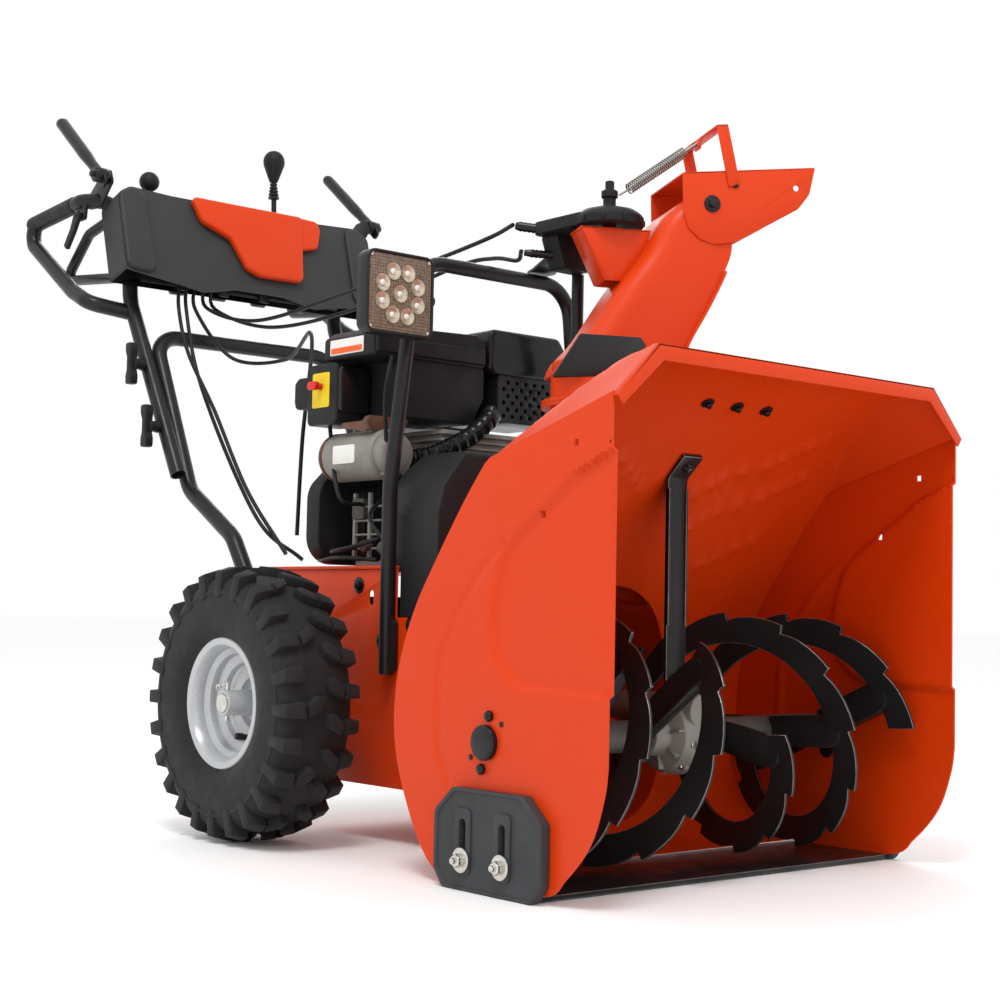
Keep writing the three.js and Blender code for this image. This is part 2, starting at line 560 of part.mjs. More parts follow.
// ---------------------------------------------------------------- drive frame
// Folded orange box: two sides, a floor and a deck for the engine, open at the front and the back.
function driveFrame() {
  const { half, front, back, bottom, top } = FRAME;
  const sideShape = [[front, bottom], [front, 302], [554, 302], [554, top], [back, top], [back, 250],
    [800, bottom]];
  const shell = cut(
    slab('x', sideShape, -half, half),
    box([-half + SHEET, front - 9, bottom + SHEET], [half - SHEET, back + 9, top - SHEET]),
    box([-half + SHEET, front - 9, bottom + SHEET], [half - SHEET, 586, top + 9]),
    box([-half + SHEET, front - 9, bottom - 9], [half - SHEET, DRUM.back + 2, top + 9]),
  );
  const bearings = [-1, 1].map((side) => bar([side * (half - 2), AXLE.y, AXLE.z],
    [side * (half + 10), AXLE.y, AXLE.z], 26, 24));
  const holes = [-1, 1].map((side) => bar([side * (half - 30), AXLE.y, AXLE.z],
    [side * (half + 30), AXLE.y, AXLE.z], AXLE.radius + 3 * GAP, 14));
  const crankHole = box([-60, 575, top - 9], [60, 600, top + 9]);
  return cut(join(shell, bearings), ...holes, crankHole);
}
add('drive_frame', driveFrame(), ORANGE);

// Transmission: the sealed box with the speed drive and the releases that free either wheel.
add('transmission', cut(
  slab('x', outline([[635, 120], [770, 120], [770, 290], [720, 330], [635, 330]], 14, 3), -110, 110),
  box([-20, 660, 150], [20, 740, 900]),
  bar([-150, AXLE.y, AXLE.z], [150, AXLE.y, AXLE.z], AXLE.radius + 3 * GAP, 14),
), BLACK_STEEL);

// ---------------------------------------------------------------- belts and engine
add('crank_pulley', join(
  turned('y', grooved(PULLEY.drive, PULLEY.wide), [0, PULLEY.y, CRANK.z], 14),
  turned('y', grooved(PULLEY.drive + 6, PULLEY.wide), [0, PULLEY.y + 26, CRANK.z], 14),
  bar([0, PULLEY.y - 10, CRANK.z], [0, 606, CRANK.z], 12.7, 14),
), STEEL);

// V-belt running round the two pulleys.
function augerBelt() {
  const ring = (extra) => {
    const high = PULLEY.drive - 9 + extra;
    const low = PULLEY.driven - 9 + extra;
    const lean = Math.asin((low - high) / (CRANK.z - IMPELLER.z));
    const points = [];
    for (let i = 0; i <= 10; i += 1) {
      const a = lean + (i / 10) * (Math.PI - 2 * lean);
      points.push([high * Math.cos(a), CRANK.z + high * Math.sin(a)]);
    }
    for (let i = 0; i <= 20; i += 1) {
      const a = Math.PI - lean + (i / 20) * (Math.PI + 2 * lean);
      points.push([low * Math.cos(a), IMPELLER.z + low * Math.sin(a)]);
    }
    return points;
  };
  return cut(slab('y', ring(8), PULLEY.y - 2.8, PULLEY.y + 2.8), slab('y', ring(0.8), 400, 600));
}
add('auger_belt', augerBelt(), RUBBER);

// Belt cover: a thin moulding, open underneath, with sloping shoulders.
function beltCover() {
  const side = [[474, 303], [553, 303], [553, 368], [586, 368], [586, 498], [566, 526], [474, 526]];
  const end = (t) => [[-160 + t, 200], [160 - t, 200], [160 - t, 440 - t], [150 - t, 478 - t], [112, 526 - t],
    [-112, 526 - t], [-150 + t, 478 - t], [-160 + t, 440 - t]];
  const outside = slab('x', side, -170, 170).intersect(slab('y', end(0), 474, 586));
  const inside = slab('y', end(SHEET), 474 + SHEET, 586 - SHEET);
  const crank = bar([0, 560, CRANK.z], [0, 700, CRANK.z], 14, 14);
  return cut(outside, inside.intersect(slab('x', [[477, 200], [550, 200], [550, 371], [583, 371], [583, 496],
    [564, 523], [477, 523]], -165, 165)), crank);
}
add('belt_cover', beltCover(), DARK_GREY);

// Engine block: crankcase on its feet, with the finned cylinder lying over to the left.
function engineBlock() {
  const feet = box([-105, 592, FRAME.top + GAP], [105, 735, FRAME.top + 14]);
  const crankcase = slab('y', outline([[-112, 376], [100, 376], [112, 480], [70, 520], [-84, 520], [-112, 480]],
    16, 3), 592, 738);
  const barrel = box([-44, 612, 505], [106, 720, 570]);
  const fins = [0, 1, 2, 3].map((i) => box([-52 + i * 42, 604, 505], [-46 + i * 42, 728, 578]));
  const boss = bar([-100, 640, 400], [-146, 640, 392], 14, 12);
  const hollow = bar([0, 580, CRANK.z], [0, 612, CRANK.z], 14, 14);
  return cut(join(feet, crankcase, barrel, fins, boss), hollow);
}
add('engine_block', engineBlock(), CAST_ALLOY);

// Electric starter lying along the right-hand side of the crankcase.
add('starter_motor', join(
  bar([-131, 622, 528], [-131, 742, 528], 35, 14),
  bar([-131, 602, 528], [-131, 623, 528], 30, 14),
  bar([-131, 741, 526], [-131, 763, 522], 31, 16, 24),
  box([-139, 650, 560], [-123, 690, 572]),
), CAST_ALLOY);

// Blower shroud with the recoil starter behind the crankcase.
function recoilCover() {
  const neck = box([-88, 738.4, 384], [100, 770, 500]);
  const shroud = slab('y', outline([[-148, 376], [140, 376], [140, 500], [64, 574], [-60, 574], [-148, 486]],
    44, 4), 768, 802);
  const starter = bar([0, 801, CRANK.z + 24], [0, 815, CRANK.z + 24], 88, 24, 80);
  const way = bar([0, 760, 540], [0, 850, 540], 7, 10);
  return cut(join(neck, shroud, starter), way, box([-36, 803, 528], [36, 850, 552]));
}
add('recoil_cover', recoilCover(), BLACK_PLASTIC);
add('recoil_handle', join(bar([0, 782, 540], [0, 818, 540], 3, 8), box([-32, 812, 532], [32, 830, 548])),
  BLACK_PLASTIC);

// Air box across the front of the engine, with the choke housing hanging below its right end.
add('air_box', join(
  slab('y', outline([[-166, 662], [36, 662], [36, 700], [20, 712], [-150, 706], [-166, 694]], 8, 2), 618, 738),
  slab('y', outline([[-112, 580], [14, 580], [36, 620], [36, 670], [-112, 670]], 8, 2), 622, 738),
), BLACK_PLASTIC);
add('carburettor_cover', join(
  box([-168, 702, 572], [-112.6, 776, 661.5]),
  box([-160, 776, 600], [-118, 822, 648]),
), BLACK_PLASTIC);
add('ignition_key', join(bar([-168.4, 740, 628], [-180, 740, 628], 5, 12),
  bar([-176, 740, 628], [-186, 740, 628], 11, 12)), RED);

// Muffler under its heat shield on the left.
add('muffler', join(
  slab('y', outline([[38, 650], [192, 650], [192, 700], [176, 724], [38, 724]], 10, 3), 612, 738),
  box([60, 618, 586], [180, 730, 652]),
), BLACK_STEEL);

// Fuel tank over the blower shroud, with its screw cap.
add('fuel_tank', join(
  slab('z', outline([[-100, 742], [150, 742], [150, 850], [-100, 850]], 24, 3), 586, 668),
  bar([26, 796, 660], [26, 796, 676], 22, 14),
), BLACK_PLASTIC);
add('fuel_cap', cut(bar([26, 796, 677], [26, 796, 697], 31, 24), bar([26, 796, 660], [26, 796, 676.3], 22.4, 14)),
  BLACK_PLASTIC);

// ---------------------------------------------------------------- light bar and lamp
const BAR = { y: 560, foot: 226, knee: 480, shoulder: 664, top: 790, footX: FRAME.half + GAP + BAR_RADIUS };
add('light_bar', tube([
  [-BAR.footX, BAR.y, BAR.foot], [-BAR.footX, BAR.y, BAR.knee], [-154, BAR.y, BAR.shoulder],
  [-140, BAR.y, BAR.top], [140, BAR.y, BAR.top], [154, BAR.y, BAR.shoulder],
  [BAR.footX, BAR.y, BAR.knee], [BAR.footX, BAR.y, BAR.foot],
], BAR_RADIUS, [0, 120, 160, 52, 52, 160, 120, 0], 8, 3), BLACK_STEEL);

const LAMP = { x: -210, z: 726, half: 55, face: 500, back: 538, pivotY: 528 };
add('lamp_bracket', join(
  box([-152.5, 512, 706], [-149, 549.2, 746]),
  box([-153, 545.7, 700], [-130, 549.2, 752]),
  bar([-154.5, LAMP.pivotY, LAMP.z], [-144, LAMP.pivotY, LAMP.z], 8, 12),
), BLACK_STEEL);
function lampHead() {
  const { x, z, half, face, back } = LAMP;
  const body = slab('y', outline([[x - half, z - half], [x + half, z - half], [x + half, z + half],
    [x - half, z + half]], 14, 4), face, back - 14);
  const recess = slab('y', outline([[x - half + 4, z - half + 4], [x + half - 4, z - half + 4],
    [x + half - 4, z + half - 4], [x - half + 4, z + half - 4]], 10, 4), face - 5, face + 8);
  const fins = [-3, -2, -1, 0, 1, 2, 3].map((i) => box([x + i * 14 - 2, back - 15, z - 46],
    [x + i * 14 + 2, back, z + 46]));
  return join(cut(body, recess), fins);
}
const lensHalf = LAMP.half - 4 - GAP;
add('lamp_head', lampHead(), BLACK_STEEL);
add('lamp_lens', slab('y', outline([[LAMP.x - lensHalf, LAMP.z - lensHalf], [LAMP.x + lensHalf, LAMP.z - lensHalf],
  [LAMP.x + lensHalf, LAMP.z + lensHalf], [LAMP.x - lensHalf, LAMP.z + lensHalf]], 9.7, 4),
LAMP.face + 1, LAMP.face + 7.7), LENS);

// ---------------------------------------------------------------- chute
// Its own group turns with it: local -y is the way the snow is thrown, and u counts that way.
const chuteGroup = new THREE.Group();
chuteGroup.position.set(CHUTE.x, CHUTE.y, 0);
chuteGroup.rotation.z = THREE.MathUtils.degToRad(CHUTE.turn);
machine.add(chuteGroup);
const along = (points, x0, x1) => slab('x', points.map(([u, z]) => [-u, z]), x0, x1);

const CHUTE_BACK = [[-74, 622], [-66, 640], [-38, 672], [4, 738], [38, 786], [49, 804], [62, 838]];
const CHUTE_TOP = [[96, 862], [106, 868], [134, 868], [140, 850], [152, 798]];
const CHUTE_FRONT = [[139, 760], [90, 665], [74, 622]];
function chute() {
  const w = CHUTE.halfWidth;
  const channel = along([...CHUTE_BACK, ...CHUTE_TOP, ...CHUTE_FRONT], -w, w);
  const innerBack = CHUTE_BACK.map(([u, z]) => [u + SHEET + 0.6, z]);
  const hollow = along([[-70, 560], ...innerBack, [56, 900], [300, 900], [300, 760], [78, 560]], -w + SHEET, w - SHEET);
  const skirt = bar([0, 0, CHUTE.base], [0, 0, 640], CHUTE.neck, 24);
  const flange = bar([0, 0, CHUTE.base], [0, 0, CHUTE.base + 5], CHUTE.neck + 12, 24);
  const bore = bar([0, 0, 500], [0, 0, 625], CHUTE.neck - SHEET, 24);
  const chimney = bar([0, 0, 600], [0, 0, 660], w - SHEET - 1, 24);
  const plates = [-26, 23].map((x) => along([[-46, 818], [56, 818], [40, 786], [13, 748],
    [-10, 748]], x, x + 3));
  const table = along([[-46, 815], [46, 815], [48, 818], [-46, 818]], -26, 26);
  const spindle = bar([0, 0, 810], [0, 0, 839], 9, 12);
  const rims = [-1, 1].map((side) => along([[141, 766], [139, 760], [90, 665], [94, 663], [144, 757], [147, 766]],
    Math.min(side * (w - SHEET), side * (w + 8)), Math.max(side * (w - SHEET), side * (w + 8))));
  const pivots = bar([-90, -DEFLECTOR.pivotU, DEFLECTOR.pivotZ], [90, -DEFLECTOR.pivotU, DEFLECTOR.pivotZ], 5.3, 12);
  return cut(join(channel, skirt, flange, plates, table, spindle, rims), hollow, bore, chimney, pivots);
}
add('chute', chute(), ORANGE, chuteGroup);

// Hood at the top of the chute, with the loop that the tilt spring pulls on.
function deflector() {
  const w = DEFLECTOR.halfWidth;
  const side = [[79, 889], [265, 910], [257, 873], [241, 852], [165, 808], [145, 800], [124, 797], [104, 802],
    [88, 816], [81, 836]];
  const hood = cut(along(side, -w, w),
    along([[40, 881.5], [79, 885.9], [300, 910.9], [300, 700], [40, 700]], -w + SHEET, w - SHEET));
  const loop = cut(along([[124, 955], [140, 957], [158, 878], [142, 874]], -w - SHEET, w + SHEET),
    along([[100, 953.6], [160, 955.6], [180, 860], [100, 860]], -w, w));
  const pins = [-1, 1].map((s) => bar([s * (w - 8), -DEFLECTOR.pivotU, DEFLECTOR.pivotZ],
    [s * (w + 3), -DEFLECTOR.pivotU, DEFLECTOR.pivotZ], 5, 12));
  return join(hood, loop, pins);
}
add('deflector', deflector(), ORANGE, chuteGroup);
add('deflector_spring', join(
  bar([0, -24, 876], [0, -104, 934], 8, 10),
  bar([0, -102, 932.6], [0, -121, 946], 3, 8),
  bar([0, -13, 868.5], [0, -25, 876.6], 1.5, 8),
), STEEL, chuteGroup);

// Fixed turning head over the chute, carried by a post and clamped to the light bar.
function chuteHead() {
  const { x, y } = CHUTE;
  const dome = turned('z', [[0, 823], [46, 823], [46, 837], [36, 846], [10, 851], [8, 862], [11, 864], [11, 872],
    [6, 874], [6, 886], [0, 886]], [x, y, 0], 14);
  const body = join(
    box([-32, y + 2, 823], [52, 446, 841]),
    slab('y', [[-16, 825], [34, 825], [54, 779], [2, 779]], 414, 446),
  );
  const arm = slab('z', [[0, 440], [34, 440], [104, 548], [104, 574], [72, 574], [60, 548]], 801.5, 806);
  const glands = [bar([-12, 440, 833], [-40, 470, 839], 7, 10), bar([-2, 436, 799], [-34, 458, 801], 6, 10)];
  const socket = bar([x, y, 800], [x, y, 843], 9.6, 12);
  return cut(join(dome, body, arm, glands), socket);
}
add('chute_head', chuteHead(), BLACK_PLASTIC);

// Post from the drum's neck up to the head, with the sheet-metal cover on its foot.
const POST = { x: 46, y: 436, radius: 8.5 };
add('chute_post', join(
  bar([POST.x, POST.y, 520], [POST.x, POST.y, 778.7], POST.radius, 12),
  box([20, 412.6, 500], [60, 432, 556]),
  box([20, 428, 500], [60, 440, 540]),
  slab('x', [[425, 700], [428, 701], [452, 640], [449, 639]], 0, 160),
), BLACK_STEEL);

// ---------------------------------------------------------------- handlebar
const lowerSide = (side) => [[side * LOWER_X, 798, 205], [side * LOWER_X, 841, 264], [side * LOWER_X, 951, 417],
  [side * LOWER_X, 1083, 493], [side * LOWER_X, 1212, 752]];
add('lower_handle', tube([...lowerSide(-1), ...lowerSide(1).reverse()], TUBE_RADIUS,
  [0, 60, 60, 60, 45, 45, 60, 60, 60, 0], 8, 3), BLACK_STEEL);

const GRIP = { top: [1300, 973], rear: [1483.2, 961], low: [1471.2, 924], front: [1320, 826] };
function upperHandle(side, extra = 0) {
  const x = side * UPPER_X;
  const g = side * GRIP_X;
  const tubeSide = tube([[x, 1076, 515], [x, 1251, 812], [x, 1262, 968]], TUBE_RADIUS + extra, 80, 8, 3);
  const loop = tube([[x, 1262, 958], [g + side * -20, 1270, 973], [g, ...GRIP.top], [g, ...GRIP.rear],
    [g, ...GRIP.low], [g, ...GRIP.front], [g, 1262, 800], [x, 1245, 790]],
  GRIP_RADIUS + extra, [0, 20, 20, 20, 20, 50, 24, 0], 8, 2);
  const brace = tube([[side * 226, 1268, 952], [side * 226, 1360, 935], [side * 226, 1442, 866],
    [side * 226, 1250, 846]], 9 + extra, [0, 30, 12, 0], 8, 2);
  return { tubeSide, loop, brace };
}
const LEVER = { y: 1236, z: 1006, tipY: 1377, tipZ: 1118, radius: 12.5 };
function handleSide(side) {
  const { tubeSide, loop, brace } = upperHandle(side);
  const ends = [box([Math.min(side * 202, side * 232), 1255, 940], [Math.max(side * 202, side * 232), 1268, 962]),
    box([Math.min(side * 202, side * 232), 1242, 838], [Math.max(side * 202, side * 232), 1264, 854])];
  const plate = sideSlab(side, [[1222, 996], [1232, 1018], [1262, 1014], [1302, 986], [1302, 962], [1262, 960]],
    254.5, 258.6);
  const pin = bar([side * 255, LEVER.y, LEVER.z], [side * 290, LEVER.y, LEVER.z], 4, 12);
  const head = bar([side * 286, LEVER.y, LEVER.z], [side * 290, LEVER.y, LEVER.z], 7, 12);
  const lug = sideSlab(side, [[1280, 975], [1312, 975], [1310, 940], [1284, 940]], 269, 275);
  return join(tubeSide, loop, brace, ends, plate, pin, head, lug);
}
addPair('upper_handle', handleSide, BLACK_STEEL);

// Paddle levers: the right one drives the wheels and the left one the augers.
function clutchLever(side) {
  const g = side * GRIP_X;
  const paddle = bar([g, LEVER.y, LEVER.z], [g, LEVER.tipY, LEVER.tipZ], LEVER.radius, 14);
  const tip = solid(new THREE.SphereGeometry(LEVER.radius, 12, 6).translate(g, LEVER.tipY, LEVER.tipZ));
  const hub = bar([g - 12, LEVER.y, LEVER.z], [g + 12, LEVER.y, LEVER.z], 12.5, 14);
  const tail = sideSlab(side, [[1226, 1012], [1244, 998], [1226, 982], [1214, 990]], 270, 274);
  const bore = bar([g - 40, LEVER.y, LEVER.z], [g + 40, LEVER.y, LEVER.z], 4.3, 12);
  const slot = box([Math.min(side * 250, side * 260.2), 1180, 960], [Math.max(side * 250, side * 260.2), 1260, 1040]);
  return cut(join(paddle, tip, hub, tail), bore, slot);
}
addPair('clutch_lever', clutchLever, BLACK_STEEL);

// Finger triggers under the grips: each frees one wheel so the machine turns.
const TRIGGER = { y: 1297, z: 948 };
function steeringTrigger(side) {
  const blade = sideSlab(side, outline([[1290, 954], [1306, 954], [1318, 930], [1340, 904], [1330, 896],
    [1306, 922], [1290, 944]], 3, 2), 275.4, 283);
  return cut(blade, bar([side * 260, TRIGGER.y, TRIGGER.z], [side * 300, TRIGGER.y, TRIGGER.z], 2.2, 10));
}
addPair('steering_trigger', steeringTrigger, BLACK_PLASTIC);

// T-knobs that clamp the folding upper handle to the lower one.
function tKnob(side, [y, z]) {
  const face = UPPER_X + TUBE_RADIUS + GAP;
  const stem = bar([side * face, y, z], [side * (face + 22), y, z], 9, 16, 12);
  const wing = outline([[y - 10, z - 34], [y + 10, z - 34], [y + 12, z + 34], [y - 8, z + 34]], 6, 2);
  return join(stem, sideSlab(side, wing, face + 14, face + 28));
}
[['upper', [1174, 696]], ['lower', [1118, 592]]].forEach(([level, at]) => {
  addPair(`${level}_knob`, (side) => tKnob(side, at), BLACK_PLASTIC);
});

// ---------------------------------------------------------------- console and controls
// The console leans back; its group's z runs up the front panel and its y is the way into it.
const CONSOLE = { half: 250, height: 166, depth: 58, lean: 17 };
const consoleGroup = new THREE.Group();
consoleGroup.position.set(0, 1176, 836);
consoleGroup.rotation.x = -THREE.MathUtils.degToRad(CONSOLE.lean);
machine.add(consoleGroup);
const toConsole = (body) => {
  consoleGroup.updateMatrixWorld(true);
  machine.updateMatrixWorld(true);
  const matrix = consoleGroup.matrix.clone().invert();
  return body.transform(matrix.elements);
};

function consoleShell() {
  const { half, height, depth } = CONSOLE;
  const face = [[-half, 14], [-half, 150], [-half + 26, 166], [-150, 162], [150, 162], [half - 26, 166], [half, 150],
    [half, 14], [half - 70, 4], [110, -8], [46, 6], [-46, 6], [-110, -8], [-half + 70, 4]];
  const outside = slab('y', face, 0, depth);
  const inside = slab('y', [[-half + 3, -40], [-half + 3, 148], [-half + 28, 163], [-150, 159], [150, 159],
    [half - 28, 163], [half - 3, 148], [half - 3, -40]], 3, depth + 60);
  const slots = [box([-180, 8, 140], [-158, 50, 200]), box([44, 6, 140], [100, 52, 200])];
  const ways = [-1, 1].flatMap((side) => Object.values(upperHandle(side, 2))).map(toConsole);
  const plates = [-1, 1].map((side) => toConsole(sideBox(side, 200, 290, [1216, 958], [1310, 1030])));
  return cut(outside, inside, ...slots, ...ways, ...plates);
}
add('console', consoleShell(), DARK_GREY, consoleGroup);

// Orange centre panel over the console's front.
add('console_cover', join(
  slab('y', [[-128, 158], [-112, 118], [-36, 40], [36, 40], [112, 118], [128, 158]], -9, -GAP),
  slab('y', [[-24, 158], [-12, 40], [36, 40], [60, 158]], -15, -8),
), ORANGE, consoleGroup);

const KNOB = { speed: { x: -169, y: 1262, z: 1014 }, chute: { x: 72, y: 1258, z: 1090 }, pivotZ: 935 };
add('speed_lever', join(
  bar([KNOB.speed.x, 1247, KNOB.pivotZ], [KNOB.speed.x, KNOB.speed.y, KNOB.speed.z], 4, 12),
  solid(new THREE.SphereGeometry(17, 12, 6).translate(KNOB.speed.x, KNOB.speed.y + 1, KNOB.speed.z + 4)),
), BLACK_PLASTIC);
add('chute_lever', join(
  bar([KNOB.chute.x, 1250, KNOB.pivotZ], [KNOB.chute.x, KNOB.chute.y, 1072], 4.5, 12),
  turned('z', [[0, 1058], [8, 1060], [12, 1075], [19, 1092], [17, 1106], [8, 1114], [0, 1115]],
    [KNOB.chute.x, KNOB.chute.y, 0], 14),
), BLACK_PLASTIC);

// Bowden cables and the lamp lead, gathered at one clamp under the console.
function controlCables() {
  const clamp = box([-150, 1196, 846], [-60, 1208, 872]);
  const routes = [
    [[-140, 1202, 850], [-144, 1196, 800], [-150, 1150, 720], [-152, 1060, 620], [-150, 960, 490], [-130, 878, 392]],
    [[-125, 1202, 850], [-130, 1196, 800], [-140, 1120, 660], [-146, 940, 450], [-100, 878, 384]],
    [[-110, 1202, 850], [-112, 1196, 800], [-60, 1160, 722], [-20, 1060, 715], [-80, 900, 730], [-125, 850, 560],
      [-120, 865, 420]],
    [[-95, 1202, 850], [-90, 1196, 806], [-50, 1100, 780], [-30, 880, 800], [-22, 660, 824], [-26, 540, 836],
      [-41.6, 474, 840.6]],
    [[-80, 1202, 850], [-74, 1196, 806], [-30, 1090, 770], [-6, 880, 780], [10, 660, 816], [6, 570, 815],
      [-10, 500, 800], [-36.5, 461.5, 803]],
  ];
  return join(clamp, routes.map((route) => cable(route)));
}
add('control_cables', controlCables(), BLACK_PLASTIC);

export default machine;
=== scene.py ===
"""Looks of a two-stage snowblower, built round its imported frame.

Shapes are drawn in millimetres with y counted from the mouth of the auger housing towards the operator, and
put() takes them into the frame. "Right" is the operator's right, at negative x.
"""
import math

import bmesh
import bpy
from mathutils import Matrix, Vector


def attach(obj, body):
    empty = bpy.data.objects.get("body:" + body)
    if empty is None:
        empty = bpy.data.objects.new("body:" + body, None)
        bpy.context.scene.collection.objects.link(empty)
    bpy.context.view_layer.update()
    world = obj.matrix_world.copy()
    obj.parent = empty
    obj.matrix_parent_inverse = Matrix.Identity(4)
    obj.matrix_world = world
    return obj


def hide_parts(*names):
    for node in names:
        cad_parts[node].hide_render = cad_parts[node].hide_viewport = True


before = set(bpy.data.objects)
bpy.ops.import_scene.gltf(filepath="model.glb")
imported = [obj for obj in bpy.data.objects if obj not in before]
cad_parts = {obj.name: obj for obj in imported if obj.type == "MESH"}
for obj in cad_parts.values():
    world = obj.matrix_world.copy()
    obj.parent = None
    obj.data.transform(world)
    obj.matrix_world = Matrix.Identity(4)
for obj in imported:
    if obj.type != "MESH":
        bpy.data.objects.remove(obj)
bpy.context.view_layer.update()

# ---------------------------------------------------------------- dimensions
# HALF is half the clearing width; the drum, chute, axle and crank are placed by their centre lines.
MIDDLE_Y = 740
SIDES = (-1, 1)
HALF = 305
SHEET = 3
MOUTH_TOP_Z = 603.5
CORNER = 60
CORNER_FALL = 0.3
AUGER_Y, AUGER_Z, AUGER_R = 195.5, 166, 152
DRUM_Z, DRUM_R = 196, 153
CHUTE_X, CHUTE_Y, CHUTE_TURN = 10, 338, 63.5
AXLE_Y, AXLE_Z, WHEEL_X, WHEEL_R = 695.5, 184, 300, 184
AXLE_CLEAR = 13
CRANK_Z = 437
STUDS_Y, STUDS_Z = (150, 218), 34
STARTER_X, STARTER_Z = -131, 528
RECOIL_Z = 461
CAP_X, CAP_Y = 26, 796
LAMP_X, LAMP_Z = -210, 726
SPEED_X, JOYSTICK_X = -169, 72
LOWER_X, UPPER_X, GRIP_X = 178, 203.7, 272
LEVER_Y, LEVER_Z, LEVER_TIP = 1236, 1006, (1377, 1118)

PROFILE = [
    (0, MOUTH_TOP_Z), (60, 592), (120, 560), (180, 510), (233, 452), (268, 407), (295, 370), (326, 325),
    (350, 277), (364, 229), (368, 181), (362, 140), (346, 98), (318, 48), (290, 18), (262, 8),
]
BOTTOM = [(100, 8), (61, 31), (24, 72), (5, 121), (0, 152)]

INTO_FRAME = Matrix.Scale(0.001, 4) @ Matrix.Translation((0, -MIDDLE_Y, 0))
CHUTE_SPACE = Matrix.Translation((CHUTE_X, CHUTE_Y, 0)) @ Matrix.Rotation(math.radians(CHUTE_TURN), 4, "Z")
CONSOLE_SPACE = Matrix.Translation((0, 1176, 836)) @ Matrix.Rotation(math.radians(-17), 4, "X")


# ---------------------------------------------------------------- materials
def srgb(r, g, b):
    def linear(c):
        c /= 255
        return c / 12.92 if c <= 0.04045 else ((c + 0.055) / 1.055) ** 2.4
    return tuple(linear(c) for c in (r, g, b))


SPECULAR, GLOSS_SPREAD = 0.22, 0.08
NOISE_LOW, NOISE_HIGH = 0.3, 0.7


def surface(name, colour, rough=0.4, metal=0.0, coat=0.0, mottle=(12, 0.06), grain=(900, 0.1),
            grain_depth=0.0002, scratches=0.0, sheen=0.0):
    """A surface with slow colour and gloss variation, a fine grain and optional fine scratches."""
    made = bpy.data.materials.new(name)
    made.use_nodes = True
    made.diffuse_color = (*colour, 1)
    nodes, links = made.node_tree.nodes, made.node_tree.links
    shader = nodes["Principled BSDF"]
    shader.inputs["Metallic"].default_value = metal
    shader.inputs["Coat Weight"].default_value = coat
    shader.inputs["Specular IOR Level"].default_value = SPECULAR
    shader.inputs["Coat Roughness"].default_value = 0.08
    shader.inputs["Sheen Weight"].default_value = sheen
    place = nodes.new("ShaderNodeTexCoord").outputs["Object"]

    def noise(scale, detail=3.0):
        node = nodes.new("ShaderNodeTexNoise")
        node.inputs["Scale"].default_value = scale
        node.inputs["Detail"].default_value = detail
        links.new(place, node.inputs["Vector"])
        return node.outputs["Fac"]

    def mapped(value, low, high):
        node = nodes.new("ShaderNodeMapRange")
        node.inputs["From Min"].default_value = NOISE_LOW
        node.inputs["From Max"].default_value = NOISE_HIGH
        node.inputs["To Min"].default_value = low
        node.inputs["To Max"].default_value = high
        links.new(value, node.inputs["Value"])
        return node.outputs["Result"]

    ramp = nodes.new("ShaderNodeValToRGB")
    ramp.color_ramp.elements[0].position = NOISE_LOW
    ramp.color_ramp.elements[1].position = NOISE_HIGH
    ramp.color_ramp.elements[0].color = (*(c * (1 - mottle[1]) for c in colour), 1)
    ramp.color_ramp.elements[1].color = (*(min(1, c * (1 + mottle[1])) for c in colour), 1)
    links.new(noise(mottle[0]), ramp.inputs["Fac"])
    links.new(ramp.outputs["Color"], shader.inputs["Base Color"])
    gloss = mapped(noise(mottle[0] * 2.3, 5), max(0.02, rough - GLOSS_SPREAD), min(1, rough + GLOSS_SPREAD))
    links.new(gloss, shader.inputs["Roughness"])
    bump = nodes.new("ShaderNodeBump")
    bump.inputs["Strength"].default_value = grain[1]
    bump.inputs["Distance"].default_value = grain_depth
    height = noise(grain[0], 2)
    if scratches:
        wave = nodes.new("ShaderNodeTexWave")
        wave.inputs["Scale"].default_value = scratches
        wave.inputs["Distortion"].default_value = 4
        links.new(place, wave.inputs["Vector"])
        mix = nodes.new("ShaderNodeMath")
        mix.operation = "MULTIPLY_ADD"
        mix.inputs[1].default_value = 0.3
        links.new(wave.outputs["Fac"], mix.inputs[0])
        links.new(height, mix.inputs[2])
        height = mix.outputs["Value"]
    links.new(height, bump.inputs["Height"])
    links.new(bump.outputs["Normal"], shader.inputs["Normal"])
    return made


ORANGE = surface("orange_paint", srgb(207, 57, 3), 0.42, coat=0.03, mottle=(3, 0.015), grain=(420, 0.04))
ORANGE_EDGE = surface("orange_paint_edge", srgb(232, 92, 38), 0.36, coat=0.1, mottle=(20, 0.04))
BLACK_PAINT = surface("black_paint", srgb(30, 30, 31), 0.36, coat=0.1, mottle=(18, 0.15), grain=(650, 0.18))
# Lighter metal colour for the bevelled edges of black parts: partly real edge wear, partly a painted
# highlight along the edges.
WEAR_AND_HIGHLIGHT_EDGE = surface("wear_and_highlight_edge", srgb(128, 126, 122), 0.35, metal=0.6, mottle=(90, 0.35), grain=(800, 0.2))
BLACK_PLASTIC = surface("black_plastic", srgb(27, 27, 28), 0.5, mottle=(14, 0.12), grain=(1500, 0.35))
GLOSS_BLACK = surface("gloss_black", srgb(22, 22, 23), 0.3, coat=0.15, mottle=(14, 0.12), grain=(900, 0.1))
GREY_PLASTIC = surface("grey_plastic", srgb(52, 53, 54), 0.5, mottle=(9, 0.06), grain=(1700, 0.4))
SHOE_GREY = surface("shoe_grey", srgb(58, 60, 62), 0.55, mottle=(25, 0.12), grain=(1000, 0.45))
COVER_GREY = surface("cover_grey", srgb(34, 35, 36), 0.5, mottle=(8, 0.1), grain=(1500, 0.35))
SHEATH = surface("cable_sheath", srgb(26, 26, 27), 0.42, mottle=(60, 0.12), grain=(1200, 0.1))
TREAD = surface("tyre_rubber", srgb(33, 33, 34), 0.72, mottle=(30, 0.18), grain=(500, 0.5), sheen=0.05)
